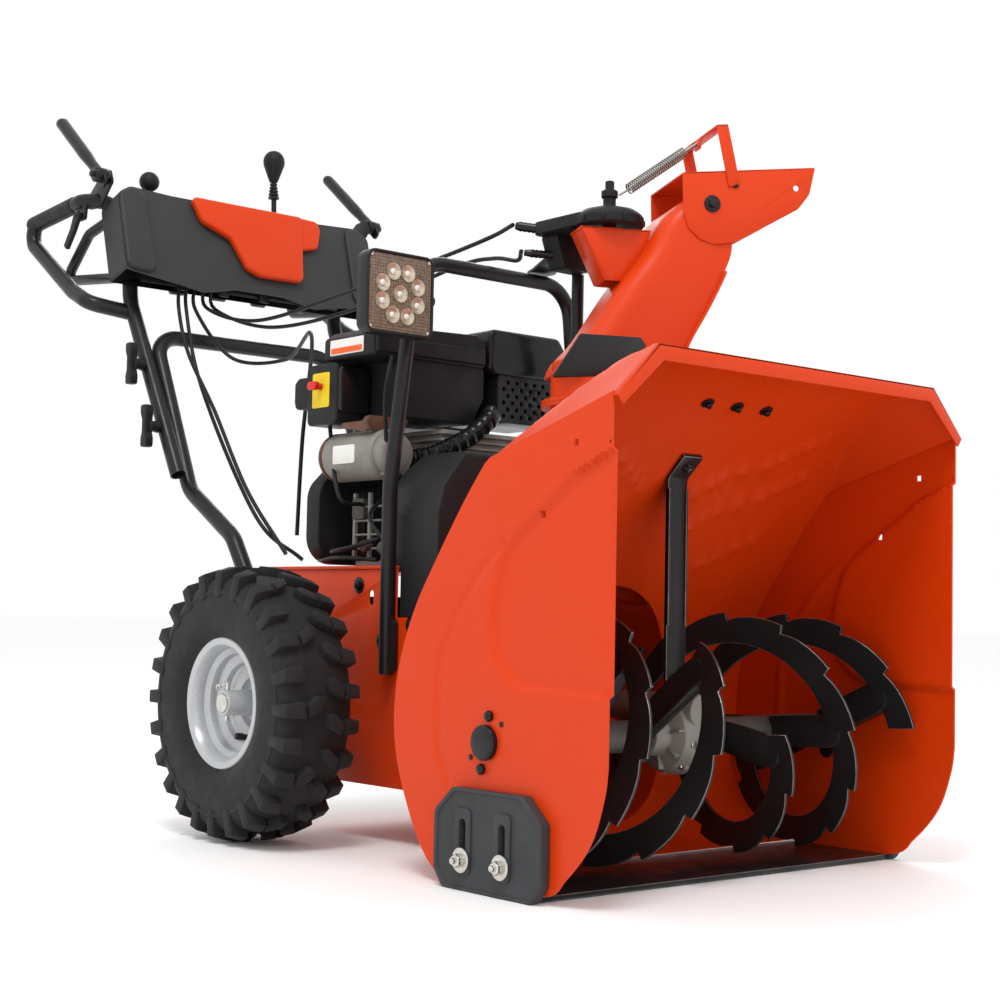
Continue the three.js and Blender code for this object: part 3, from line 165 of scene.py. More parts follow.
BELT = surface("belt_rubber", srgb(28, 27, 27), 0.8, mottle=(60, 0.2), grain=(1800, 0.6))
ALLOY = surface("cast_alloy", srgb(142, 139, 133), 0.55, metal=0.3, mottle=(26, 0.14), grain=(750, 0.5),
                grain_depth=0.0005)
DARK_ALLOY = surface("dark_alloy", srgb(88, 86, 82), 0.55, metal=0.3, mottle=(26, 0.2), grain=(700, 0.5),
                     grain_depth=0.0005)
STEEL = surface("bare_steel", srgb(150, 147, 141), 0.33, metal=0.95, mottle=(40, 0.12), grain=(900, 0.15),
                scratches=160)
ZINC = surface("zinc_plate", srgb(206, 205, 198), 0.24, metal=1.0, mottle=(90, 0.12), grain=(900, 0.12))
GOLD_ZINC = surface("gold_zinc", srgb(206, 152, 92), 0.3, metal=1.0, mottle=(90, 0.2), grain=(900, 0.12))
RIM = surface("rim_enamel", srgb(184, 186, 188), 0.32, metal=0.35, coat=0.2, mottle=(12, 0.04),
              grain=(600, 0.08))
BROWN = surface("brown_bracket", srgb(103, 72, 58), 0.5, metal=0.2, mottle=(30, 0.2), grain=(600, 0.35))
PALE = surface("blank_label", srgb(222, 222, 216), 0.4, mottle=(20, 0.03))
YELLOW = surface("yellow_label", srgb(226, 196, 30), 0.4, mottle=(20, 0.04))
RED = surface("red_plastic", srgb(206, 32, 26), 0.3, coat=0.3, mottle=(30, 0.06))
AMBER = surface("reflector", srgb(120, 106, 92), 0.24, metal=0.25, mottle=(160, 0.25), grain=(300, 0.6))
LED = surface("led_bowl", srgb(188, 178, 156), 0.2, metal=0.5, mottle=(200, 0.2))


# ---------------------------------------------------------------- outlines and paths
def rounded(points, radius, steps=5, closed=False):
    """A path or outline with its corners rounded; radius is one number, or one for each corner."""
    corners = [Vector((*p, 0)) if len(p) == 2 else Vector(p) for p in points]
    smooth = []
    for i, corner in enumerate(corners):
        size = radius[i] if isinstance(radius, (list, tuple)) else radius
        if size == 0 or (not closed and i in (0, len(corners) - 1)):
            smooth.append(corner)
            continue
        back = (corners[i - 1] - corner).normalized()
        ahead = (corners[(i + 1) % len(corners)] - corner).normalized()
        half = back.angle(ahead) / 2
        if half > 1.55:
            smooth.append(corner)
            continue
        centre = corner + (back + ahead).normalized() * (size / math.sin(half))
        start = corner + back * (size / math.tan(half)) - centre
        end = corner + ahead * (size / math.tan(half)) - centre
        sweep = start.angle(end)
        for s in range(steps + 1):
            t = s / steps
            arm = (start * math.sin((1 - t) * sweep) + end * math.sin(t * sweep)) / math.sin(sweep)
            smooth.append(centre + arm)
    return smooth


def outline(points, radius, steps=4):
    return [(p.x, p.y) for p in rounded(points, radius, steps, closed=True)]


def through(points, count):
    """Points spread evenly along a smooth curve through the given ones."""
    given = [Vector((*p, 0)) if len(p) == 2 else Vector(p) for p in points]
    ends = [given[0] * 2 - given[1], *given, given[-1] * 2 - given[-2]]
    fine = []
    for i in range(1, len(ends) - 2):
        a, b, c, d = ends[i - 1:i + 3]
        for s in range(24):
            t = s / 24
            m0, m1 = (c - a) / 2, (d - b) / 2
            fine.append(b * (2 * t ** 3 - 3 * t ** 2 + 1) + m0 * (t ** 3 - 2 * t ** 2 + t)
                        + c * (3 * t ** 2 - 2 * t ** 3) + m1 * (t ** 3 - t ** 2))
    fine.append(given[-1])
    lengths = [0.0]
    for p, q in zip(fine, fine[1:]):
        lengths.append(lengths[-1] + (q - p).length)
    spread, at = [], 0
    for i in range(count):
        want = lengths[-1] * i / (count - 1)
        while at < len(fine) - 2 and lengths[at + 1] < want:
            at += 1
        gap = lengths[at + 1] - lengths[at]
        spread.append(fine[at].lerp(fine[at + 1], (want - lengths[at]) / gap if gap else 0))
    return spread


def curve(points, count):
    """An evenly stepped smooth line in a plane."""
    return [(p.x, p.y) for p in through(points, count)]


def rect(u0, v0, u1, v1):
    return [(u0, v0), (u1, v0), (u1, v1), (u0, v1)]


def disc(radius, height):
    """The profile of a plain cylinder for a lathe."""
    return rect(0, 0, radius, height)


def span(side, near, far):
    """Two distances from the middle plane as low and high x on one side of the machine."""
    return sorted((side * near, side * far))


def ring(radius, count=32, centre=(0, 0), start=0.0):
    return [(centre[0] + radius * math.cos(start + i / count * math.tau),
             centre[1] + radius * math.sin(start + i / count * math.tau)) for i in range(count)]


# ---------------------------------------------------------------- solids
class Build:
    """Collects closed solids and sheets in millimetres; its methods return it, so that calls chain."""

    def __init__(self, space=None):
        self.bm = bmesh.new()
        self.space = space or Matrix.Identity(4)

    def mesh(self, points, faces):
        made = [self.bm.verts.new(self.space @ Vector(p)) for p in points]
        for face in faces:
            self.bm.faces.new([made[i] for i in face])
        return self

    def slab(self, axis, shape, low, high):
        """An outline pushed along an axis: [y, z] for x, [x, z] for y and [x, y] for z."""
        def spot(u, v, w):
            return {"x": (w, u, v), "y": (u, w, v), "z": (u, v, w)}[axis]
        n = len(shape)
        points = [spot(u, v, low) for u, v in shape] + [spot(u, v, high) for u, v in shape]
        sides = [(i, (i + 1) % n, n + (i + 1) % n, n + i) for i in range(n)]
        return self.mesh(points, [tuple(range(n)), tuple(range(2 * n - 1, n - 1, -1)), *sides])

    def box(self, low, high):
        (x0, y0, z0), (x1, y1, z1) = low, high
        return self.slab("z", rect(x0, y0, x1, y1), z0, z1)

    def lathe(self, profile, start, end, sides=48):
        """A closed profile of (radius, distance) pairs turned about the line from start towards end."""
        start, end = Vector(start), Vector(end)
        way = (end - start).normalized()
        turn = Vector((0, 0, 1)).rotation_difference(way).to_matrix()
        points, faces, rows = [], [], []
        for radius, along in profile:
            if radius < 1e-6:
                rows.append([len(points)] * sides)
                points.append(start + way * along)
                continue
            rows.append([len(points) + i for i in range(sides)])
            for i in range(sides):
                angle = i / sides * math.tau
                points.append(start + way * along + turn @ Vector((radius * math.cos(angle),
                                                                   radius * math.sin(angle), 0)))
        pairs = list(zip(rows, rows[1:]))
        if profile[0] != profile[-1] and profile[0][0] > 1e-6:
            pairs.append((rows[-1], rows[0]))
        elif profile[0] == profile[-1]:
            pairs[-1] = (rows[-2], rows[0])
        for low, high in pairs:
            for i in range(sides):
                j = (i + 1) % sides
                corner = list(dict.fromkeys([low[i], low[j], high[j], high[i]]))
                if len(corner) > 2:
                    faces.append(corner)
        used = sorted({i for face in faces for i in face})
        index = {old: new for new, old in enumerate(used)}
        return self.mesh([points[i] for i in used], [[index[i] for i in face] for face in faces])

    def bar(self, start, end, radius, end_radius=None, sides=32, round_end=0.0):
        length = (Vector(end) - Vector(start)).length
        last = radius if end_radius is None else end_radius
        r = round_end
        tip = [(last - r + r * math.sin(a), length - r + r * math.cos(a))
               for a in (math.pi / 2, 1.05, 0.5, 0.0)] if r else [(last, length)]
        return self.lathe([(0, 0), (radius, 0), *tip, (0, length)], start, end, sides)

    def tube(self, path, radius, sides=20, wall=0.0):
        """A round tube along points, hollow at its ends when a wall is given."""
        path = [Vector(p) for p in path]
        path = [p for i, p in enumerate(path) if i == 0 or (p - path[i - 1]).length > 1e-4]
        tangents = [(path[min(i + 1, len(path) - 1)] - path[max(i - 1, 0)]).normalized()
                    for i in range(len(path))]
        normal = tangents[0].orthogonal().normalized()
        points, rows = [], []
        for i, (p, t) in enumerate(zip(path, tangents)):
            normal = (normal - t * normal.dot(t)).normalized()
            side = t.cross(normal)
            r = radius(i / (len(path) - 1)) if callable(radius) else radius
            rows.append(list(range(len(points), len(points) + sides)))
            points += [p + (normal * math.cos(a) + side * math.sin(a)) * r
                       for a in (k / sides * math.tau for k in range(sides))]
        faces = []
        for low, high in zip(rows, rows[1:]):
            faces += [(low[i], low[(i + 1) % sides], high[(i + 1) % sides], high[i]) for i in range(sides)]
        if not wall:
            return self.mesh(points, [*faces, rows[0][::-1], rows[-1]])
        for row, p, t in ((rows[0][::-1], path[0], tangents[0]), (rows[-1], path[-1], -tangents[-1])):
            inner = list(range(len(points), len(points) + sides))
            deep = list(range(len(points) + sides, len(points) + 2 * sides))
            points += [p + (points[i] - p) * (1 - wall) for i in row]
            points += [p + (points[i] - p) * (1 - wall) + t * 14 for i in row]
            faces += [(row[i], row[(i + 1) % sides], inner[(i + 1) % sides], inner[i]) for i in range(sides)]
            faces += [(inner[i], inner[(i + 1) % sides], deep[(i + 1) % sides], deep[i])
                      for i in range(sides)]
            faces.append(deep)
        return self.mesh(points, faces)

    def loft(self, rings):
        """A closed solid through rings of the same number of points."""
        n = len(rings[0])
        points = [p for ring_points in rings for p in ring_points]
        faces = [(i * n + k, i * n + (k + 1) % n, (i + 1) * n + (k + 1) % n, (i + 1) * n + k)
                 for i in range(len(rings) - 1) for k in range(n)]
        last = (len(rings) - 1) * n
        return self.mesh(points, [*faces, tuple(range(n))[::-1], tuple(range(last, last + n))])

    def grid(self, rows):
        """An open sheet over rows of points."""
        wide = len(rows[0])
        points = [p for row in rows for p in row]
        faces = [(r * wide + c, r * wide + c + 1, (r + 1) * wide + c + 1, (r + 1) * wide + c)
                 for r in range(len(rows) - 1) for c in range(wide - 1)]
        return self.mesh(points, faces)

    def bolt(self, at, way, size=13, height=6, washer=True, stud=0.0):
        """A hexagon head on a washer, with its stud showing when it is a nut."""
        at, way = Vector(at), Vector(way).normalized()
        if washer:
            self.lathe(rect(0, 0, size * 0.95, 1.5), at, at + way, 24)
        self.lathe([(0, 1.5), (size / 1.85, 1.5), (size / 1.85, height), (size / 2.3, height + 1.2),
                    (0, height + 1.2)],
                   at, at + way, 6)
        if stud:
            self.lathe(rect(0, height, size / 4, height + stud),
                       at, at + way, 14)
        return self


def to_object(name, build):
    mesh = bpy.data.meshes.new(name)
    bmesh.ops.recalc_face_normals(build.bm, faces=build.bm.faces)
    build.bm.to_mesh(mesh)
    build.bm.free()
    mesh.transform(INTO_FRAME)
    made = bpy.data.objects.new(name, mesh)
    bpy.context.scene.collection.objects.link(made)
    return made


def put(name, build, body, mat, replaces=(), bevel=0.0, segments=2, edge_mat=None, thick=0.0,
        thick_offset=-1, angle=38, cutters=(), trim=None, limit=32):
    """Turns a Build into a finished piece that rides on a body."""
    piece = to_object(name, build)
    mesh = piece.data
    mesh.materials.append(mat)
    if edge_mat:
        mesh.materials.append(edge_mat)
    if thick:
        sheet = piece.modifiers.new("thickness", "SOLIDIFY")
        sheet.thickness = thick / 1000
        sheet.offset = thick_offset
        sheet.use_even_offset = True
    tools = [(trim, "INTERSECT")] if trim else []
    tools += [(cutter, "DIFFERENCE") for cutter in cutters]
    made = []
    for tool_build, operation in tools:
        tool = to_object("tool", tool_build)
        made.append(tool)
        cut = piece.modifiers.new("cut", "BOOLEAN")
        cut.object = tool
        cut.operation = operation
        cut.solver = "EXACT"
    if bevel:
        edge = piece.modifiers.new("edges", "BEVEL")
        edge.width = bevel / 1000
        edge.segments = segments
        edge.limit_method = "ANGLE"
        edge.angle_limit = math.radians(limit)
        edge.harden_normals = False
        # The bevel faces take the edge material; on black parts this paints a highlight along the edges as
        # well as wear.
        if edge_mat:
            edge.material = 1
    view = bpy.context.evaluated_depsgraph_get()
    final = bpy.data.meshes.new_from_object(piece.evaluated_get(view), depsgraph=view)
    piece.modifiers.clear()
    piece.data = final
    final.name = name
    for tool in made:
        bpy.data.objects.remove(tool)
    final.polygons.foreach_set("use_smooth", [True] * len(final.polygons))
    final.set_sharp_from_angle(angle=math.radians(angle))
    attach(piece, body)
    if replaces:
        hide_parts(*replaces)
    return piece


def flip(points, side):
    """The same path on the other side of the machine."""
    return [(side * p[0], *p[1:]) for p in points]


def named(side):
    return "right" if side < 0 else "left"


# ---------------------------------------------------------------- auger housing
SIDE_CURVE = curve(PROFILE, 60)


def smooth_step(t):
    t = max(0.0, min(1.0, t))
    return t * t * (3 - 2 * t)


def to_line(u, v, line):
    """Distance from a point to a polyline in the plane."""
    best = 1e9
    for (a, b), (c, d) in zip(line, line[1:]):
        length = (c - a) ** 2 + (d - b) ** 2
        t = max(0.0, min(1.0, ((u - a) * (c - a) + (v - b) * (d - b)) / length))
        best = min(best, math.hypot(u - a - t * (c - a), v - b - t * (d - b)))
    return best


def inside(u, v, region):
    hit = False
    for (a, b), (c, d) in zip(region, region[1:] + region[:1]):
        if (b > v) != (d > v) and u < (c - a) * (v - b) / (d - b) + a:
            hit = not hit
    return hit


def corner_height(x, y):
    return MOUTH_TOP_Z - CORNER_FALL * y - (abs(x) - (HALF - CORNER))


# Pressed ribs on the back sheet, as lines over (x, distance along the sheet).
RIBS = [[(sx * 40, 270), (sx * 95, 225), (sx * 150, 205), (sx * 215, 150)] for sx in SIDES]
RIBS += [[(sx * 60, 330), (sx * 115, 285), (sx * 175, 262), (sx * 235, 215)] for sx in SIDES]
RIBS += [[(sx * 120, 380), (sx * 170, 350), (sx * 225, 320)] for sx in SIDES]


def wrap_rows():
    edge = HALF - SHEET - 0.3
    xs = [-edge + i * 2 * edge / 96 for i in range(97)]
    rows, run = [], 0.0
    for i, (y, z) in enumerate(SIDE_CURVE):
        if y < 246 and z < 100:
            break
        if i:
            run += math.dist(SIDE_CURVE[i], SIDE_CURVE[i - 1])
        ahead = SIDE_CURVE[min(i + 1, len(SIDE_CURVE) - 1)]
        behind = SIDE_CURVE[max(i - 1, 0)]
        length = math.dist(ahead, behind)
        ny, nz = (ahead[1] - behind[1]) / length, -(ahead[0] - behind[0]) / length
        row = []
        for x in xs:
            height = min(z, corner_height(x, y))
            rib = min(to_line(x, run, line) for line in RIBS)
            push = 5.5 * (1 - smooth_step(rib / 7))
            row.append((x, y + ny * push, height + nz * push))
        rows.append(row)
    return rows


drum_bore = Build().lathe(rect(0, 0, DRUM_R, 300), (0, 200, DRUM_Z), (0, 500, DRUM_Z), 96)
put("wrap_sheet", Build().grid(wrap_rows()), "chassis", ORANGE, ["housing_wrap"], thick=SHEET, bevel=0.8,
    segments=1, cutters=[drum_bore], angle=30)


def lip_band(low):
    inner = low * 0.42
    top = [(-HALF + 0.2, MOUTH_TOP_Z - CORNER), (-HALF + CORNER, MOUTH_TOP_Z)]
    return [*top, *[(-x, z) for x, z in reversed(top)],
            (HALF - inner, MOUTH_TOP_Z - CORNER - low + inner), (HALF - CORNER - inner, MOUTH_TOP_Z - low),
            (-HALF + CORNER + inner, MOUTH_TOP_Z - low), (-HALF + inner, MOUTH_TOP_Z - CORNER - low + inner)]


put("mouth_lip", Build().slab("y", lip_band(SHEET), -9, 2).slab("y", lip_band(18), -9, -9 + SHEET), "chassis",
    ORANGE, bevel=1.1, segments=2)

EMBOSS = curve([(60, 462), (80, 446), (158, 393), (179, 361), (191, 317), (192, 284),
                                       (181, 258), (155, 235), (114, 229), (15, 226)], 40)
EMBOSS_REGION = [*EMBOSS, (-30, 226), (-30, 500)]
GROOVE = curve([(168, 393), (209, 361), (247, 316), (277, 268), (286, 212), (282, 156),
                                       (262, 117)], 40)
PLATE_EDGE = [*SIDE_CURVE, *curve([SIDE_CURVE[-1], (250, 8), *BOTTOM], 40)[3:]]


def side_plate(side):
    """Flat plate with a pressed field and a curved swage behind it, cut to the housing's profile."""
    rows = []
    for i in range(102):
        y = -4 + i * 3.75
        row = []
        for k in range(156):
            z = 2 + k * 3.6
            step = to_line(y, z, EMBOSS) * (1 if inside(y, z, EMBOSS_REGION) else -1)
            depth = 6 * smooth_step((step + 4.5) / 9)
            depth += 2.6 * (1 - smooth_step(abs(to_line(y, z, GROOVE)) / 9))
            row.append((side * (HALF - SHEET / 2 - depth), y, z))
        rows.append(row)
    trim = [(y, min(z, corner_height(HALF - SHEET - 0.6, y))) for y, z in PLATE_EDGE]
    keep = Build().slab("x", trim, HALF - 30 if side > 0 else -HALF - 30,
                        HALF + 30 if side > 0 else -HALF + 30)
    hole = ring(5, 4, (55, 496), math.pi / 4), ring(5, 4, (112, 420.5), math.pi / 4)
    put(f"side_sheet_{named(side)}", Build().grid(rows), "chassis", ORANGE, [f"side_plate_{named(side)}"],
                thick=SHEET - 0.4, thick_offset=0, angle=30, trim=keep,
                cutters=[Build().slab("x", shape, side * HALF - 20, side * HALF + 20) for shape in hole],
        bevel=0.7,
                segments=1)


for side in SIDES:
    side_plate(side)
    face = side * HALF
    cap = Build().lathe([(0, -7), (20, -7), (20, 6), (17.5, 8), (9, 8.6), (0, 8.6)], (face, AUGER_Y, AUGER_Z),
                        (face + side, AUGER_Y, AUGER_Z), 48)
    for dy, dz, size in ((-6, 30, 12), (6, -30, 12)):
        cap.bolt((face - side * 5, AUGER_Y + dy, AUGER_Z + dz), (side, 0, 0), size, 9, stud=2)
    cap.lathe(rect(0, 0, 3.4, 1.2), (face, AUGER_Y - 26, AUGER_Z + 22),
              (face + side, AUGER_Y - 26, AUGER_Z + 22), 16)
    cap.lathe(rect(0, 0, 3.4, 1.2), (face, AUGER_Y + 26, AUGER_Z - 18),
              (face + side, AUGER_Y + 26, AUGER_Z - 18), 16)
    put(f"bearing_cap_{named(side)}", cap, "chassis", GLOSS_BLACK, bevel=0.6)
    studs = Build()
    for y in STUDS_Y:
        studs.lathe([(0, 0), (14, 0), (14, 2), (8, 2.2), (0, 2.2)], (face + side * 14.2, y, STUDS_Z),
                    (face + side * 15.2, y, STUDS_Z), 32)
        studs.bolt((face + side * 14.4, y, STUDS_Z), (side, 0, 0), 15, 9, stud=5)
    put(f"shoe_nuts_{named(side)}", studs, "chassis", ZINC, bevel=0.5)

# Bolts through the roof, their heads inside the mouth.
roof_bolts = Build()
for x in (-48, 4, 57):
    roof_bolts.bolt((x, 103, 566), (0, -0.45, -0.89), 9, 5, stud=3)
put("roof_bolts", roof_bolts, "chassis", GLOSS_BLACK, bevel=0.5)

# Scraper along the bottom edge.
put("scraper_blade", Build().slab("x", [(112, 1.5), (262, 1.5), (262, 7.7), (100.5, 7.7), (104, 1.5)],
                                  -301.5, 301.5),
    "chassis", BLACK_PAINT, ["scraper_bar"], bevel=0.9, edge_mat=WEAR_AND_HIGHLIGHT_EDGE)


def drum():
    wall = DRUM_R + SHEET
    shell = Build().lathe([(wall, 20), (wall, 205), (wall - 3, 208), (10.6, 208), (10.6, 205), (DRUM_R, 205),
                           (DRUM_R, 20), (wall, 20)], (0, 250, DRUM_Z), (0, 251, DRUM_Z), 96)
    neck = Build().lathe([(74, 0), (74, 284), (86, 284), (86, 288.7), (71, 288.7), (71, 0), (74, 0)],
                         (CHUTE_X, CHUTE_Y, 296), (CHUTE_X, CHUTE_Y, 297), 72)
    clear = [Build().lathe(rect(0, 0, DRUM_R, 180), (0, 275, DRUM_Z), (0, 276, DRUM_Z), 96)]
    block = [(y + 0.3, z) for y, z in SIDE_CURVE if z > 12]
    front = [(-60, MOUTH_TOP_Z), *block, (-60, 12)]
    clear.append(Build().slab("x", front, -HALF, HALF))
    put("discharge_neck", neck, "chassis", ORANGE, cutters=clear)
    throat = Build().lathe(rect(0, 0, 71, 300), (CHUTE_X, CHUTE_Y, 290), (CHUTE_X, CHUTE_Y, 291), 72)
    clear = [Build().slab("x", front, -HALF, HALF), throat]
    put("impeller_drum", shell, "chassis", ORANGE, ["impeller_housing"], cutters=clear)


drum()

# ---------------------------------------------------------------- augers
RIBBON_START, RIBBON_X, TEETH = {-1: 2.18, 1: -0.05}, (42, 280), 12
TOOTH = [(0.0, 10.5), (0.05, 9.6), (0.12, 8), (0.22, 6), (0.36, 4.1), (0.52, 2.6), (0.7, 1.3), (0.86, 0.4),
         (0.965, 0)]
ARMS = [0.03, 0.5, 0.94]


def flight_angle(side, phase, u):
    return RIBBON_START[side] + phase + math.tau * u


def flight_x(side, u):
    return side * (RIBBON_X[0] + (RIBBON_X[1] - RIBBON_X[0]) * u)


def auger_half(side):
    flights, arms = Build(), Build()
    for phase in (0, math.pi):
        rings = []
        for u, cut in [((k + t) / TEETH, cut) for k in range(TEETH) for t, cut in TOOTH] + [(1.0, 0)]:
            angle, x = flight_angle(side, phase, u), flight_x(side, u)
            c, s = math.cos(angle), math.sin(angle)
            rings.append([(x + dx, AUGER_Y + r * c, AUGER_Z + r * s)
                          for r, dx in ((112.5, -2), (AUGER_R - cut, -2), (AUGER_R - cut, 2), (112.5, 2))])
        flights.loft(rings)
        for u in ARMS:
            angle, tip = flight_angle(side, phase, u), flight_x(side, u)
            root = side * max(abs(tip), 66)
            c, s = math.cos(angle), math.sin(angle)
            rings = []
            for r, half in ((15, 18), (25, 19), (60, 20), (104, 20), (120, 17), (127, 11)):
                x = root + (tip - root) * min(1, max(0, (r - 25) / 94))
                fold = max(2.4, min(16, (127 - r) * 0.7))
                section = [(-half, -2.2), (half, -2.2), (half, fold), (half - 3.4, fold), (half - 3.4, 2.2),
                           (-half, 2.2)]
                rings.append([(x + side * d, AUGER_Y + r * c - t * s, AUGER_Z + r * s + t * c) for t,
                              d in section])
            arms.loft(rings)
    # Ribbon and arm edges carry the lighter edge material: wear plus a painted highlight.
    put(f"ribbons_{named(side)}", flights, "auger", BLACK_PAINT, [f"auger_{named(side)}"], bevel=0.6,
        segments=1,
        edge_mat=WEAR_AND_HIGHLIGHT_EDGE, limit=60)
    put(f"arms_{named(side)}", arms, "auger", BLACK_PAINT, bevel=0.8, edge_mat=WEAR_AND_HIGHLIGHT_EDGE, limit=60)
    hub = Build().lathe([(14.4, 0), (18.5, 0), (19.5, 1), (19.5, 225), (18.5, 226), (14.4, 226), (14.4, 0)],
                        (side * 62, AUGER_Y, AUGER_Z), (side * 63, AUGER_Y, AUGER_Z), 48)
    put(f"auger_tube_{named(side)}", hub, "auger", DARK_ALLOY)
    pins = Build()
    for x in (90, 226):
        pins.bolt((side * x, AUGER_Y - 19, AUGER_Z), (0, -1, 0), 11, 6, stud=0)
        pins.bolt((side * x, AUGER_Y + 19, AUGER_Z), (0, 1, 0), 11, 6, stud=5)
    put(f"shear_bolts_{named(side)}", pins, "auger", GOLD_ZINC, bevel=0.4)


for side in SIDES:
    auger_half(side)
put("auger_axle", Build().lathe([(0, 0), (13, 0), (13.9, 1), (13.9, 621), (13, 622), (0, 622)],
                                (-311, AUGER_Y, AUGER_Z), (0, AUGER_Y, AUGER_Z), 48), "auger", STEEL,
    ["auger_shaft"])

# Gearbox round the worm drive, with its ribs, flange bolts and the lug for the stay.
gear_case = Build().lathe([(0, 0), (23, 0), (24, 2), (25, 22), (43, 30), (48, 48), (50, 56), (48, 64),
                           (43, 82),
                           (25, 90), (24, 110), (23, 112), (0, 112)], (-56, AUGER_Y, AUGER_Z),
                          (0, AUGER_Y, AUGER_Z), 72)
gear_case.lathe([(0, 0), (20, 0), (21, 2), (21, 134), (19, 138), (17, 150), (16.5, 166), (0, 166)],
                (0, 150, DRUM_Z), (0, 151, DRUM_Z), 48)
for k in range(8):
    a = k / 8 * math.tau + 0.2
    cy, cz = AUGER_Y + 43 * math.cos(a), AUGER_Z + 43 * math.sin(a)
    gear_case.lathe(rect(0, 0, 7, 26), (-13, cy, cz), (0, cy, cz), 20)
    for x in (-1, 1):
        gear_case.slab("x", [(AUGER_Y + r * math.cos(a + 0.4) - t * math.sin(a + 0.4),
                              AUGER_Z + r * math.sin(a + 0.4) + t * math.cos(a + 0.4))
                             for r, t in ((20, -1.6), (42, -1.6), (42, 1.6), (20, 1.6))],
                       min(x * 26, x * 36), max(x * 26, x * 36))
gear_case.slab("x", outline([(181, 204), (181, 226), (210, 226), (210, 204)], 4), -9, 9)
put("gearbox_shell", gear_case, "chassis", ALLOY, ["gearbox_case"], bevel=1.2)
case_bolts = Build()
for k in range(8):
    a = k / 8 * math.tau + 0.2
    case_bolts.bolt((-13, AUGER_Y + 43 * math.cos(a), AUGER_Z + 43 * math.sin(a)), (-1, 0, 0), 9, 4,
                    washer=False)
    case_bolts.bolt((13, AUGER_Y + 43 * math.cos(a), AUGER_Z + 43 * math.sin(a)), (1, 0, 0), 9, 4,
                    washer=False)
put("gearbox_bolts", case_bolts, "chassis", ZINC, bevel=0.3)

# Folded stay from the roof down to the gearbox.
strap = Build().slab("x", outline([(176, 226.6), (201, 226.6), (201, 484), (172, 512),
                                                        (169, 508), (196, 482), (196, 231.5), (176, 231.5)],
                                                       [0, 5, 12, 0, 0, 10, 3, 0], 4), -17, 17)
strap.box((-17, 194, 300), (-13.5, 201, 470)).box((13.5, 194, 300), (17, 201, 470))
strap.bolt((0, 186, 231.5), (0, 0, 1), 13, 7, stud=3)
strap.bolt((0, 182, 498), (0, -0.7, -0.7), 13, 7, stud=3)
put("gearbox_stay", strap, "chassis", BLACK_PAINT, ["gearbox_strap"], bevel=0.8, edge_mat=WEAR_AND_HIGHLIGHT_EDGE, limit=50)

# Four-bladed impeller.
rotor = Build().lathe([(0, 0), (20, 0), (22, 2), (22, 63), (64, 63), (64, 68), (0, 68)], (0, 378, DRUM_Z),
                      (0, 379, DRUM_Z), 64)
for k in range(4):
    a = k * math.pi / 2 + 0.4
    blade = [(r * math.cos(a) - t * math.sin(a), DRUM_Z + r * math.sin(a) + t * math.cos(a))
             for r, t in ((16, -2), (124, -2), (136, 2), (146.5, 14), (142, 17.5), (131, 6.5), (122, 2),
                          (16, 2))]
    rotor.slab("y", blade, 378, 446)
put("rotor", rotor, "impeller_line", BLACK_PAINT, ["impeller"], bevel=0.8, edge_mat=WEAR_AND_HIGHLIGHT_EDGE, limit=50)

# ---------------------------------------------------------------- skid shoes
def skid_shoe(side):
    front, back, top = 85, 269, 114
    low, high = side * 305.3, side * 319.0
    shape = outline([(front, 20), (front + 16, 0.2), (back - 16, 0.2), (back, 20), (back, top - 28),
                     (back - 32, top), (front + 32, top), (front, top - 28)], 9)

    def shrunk(k):
        return [(177 + (y - 177) * k, 57 + (z - 57) * k) for y, z in shape]
    holes = [outline(rect(y - 5.6, 28, y + 5.6, 80), 5.2) for y in STUDS_Y]
    lip = [Build().slab("x", shrunk(0.93), *span(side, 316.5, 330))]
    lip += [Build().slab("x", hole, *span(side, 290, 330)) for hole in holes]
    shoe = Build().slab("x", shape, *sorted((low, high)))
    put(f"shoe_shell_{named(side)}", shoe, f"shoe_{named(side)}", SHOE_GREY, [f"skid_shoe_{named(side)}"],
        cutters=lip, bevel=1.6, segments=3)
    pads = Build()
    for y, hole in zip(STUDS_Y, holes):
        pads.slab("x", outline(rect(y - 14, 18, y + 14, 92), 7),
                  *span(side, 315.8, 318.6))
    cut = [Build().slab("x", hole, *span(side, 300, 330))
           for hole in holes]
    put(f"shoe_pads_{named(side)}", pads, f"shoe_{named(side)}", SHOE_GREY, cutters=cut, bevel=0.9,
        segments=2)


for side in SIDES:
    skid_shoe(side)

# ---------------------------------------------------------------- wheels
LUGS = 24


def carcass_radius(x):
    """The tyre's outer radius under its lugs, across its width."""
    t = min(1.0, abs(x) / 54)
    return 171 - 16 * t ** 2.6


def lug_block(shape, side, turn, low=-9.0, top_scale=0.86):
    """A rubber block standing on the crown: corners given as (across, around) in mm."""
    middle = (sum(p[0] for p in shape) / len(shape), sum(p[1] for p in shape) / len(shape))

    def spot(x, around, radius):
        angle = turn + around / 172
        return (side * WHEEL_X + x, AXLE_Y + radius * math.sin(angle), AXLE_Z + radius * math.cos(angle))
    foot = [spot(x, a, carcass_radius(x) + low) for x, a in shape]
    crest = []
    for x, a in shape:
        tx = middle[0] + (x - middle[0]) * top_scale
        ta = middle[1] + (a - middle[1]) * top_scale
        crest.append(spot(tx, ta, WHEEL_R - 0.4 - 9 * (abs(tx) / 56) ** 3))
    n = len(shape)
    return foot + crest, [tuple(range(n))[::-1], tuple(range(n, 2 * n)),
                          *[(i, (i + 1) % n, n + (i + 1) % n, n + i) for i in range(n)]]


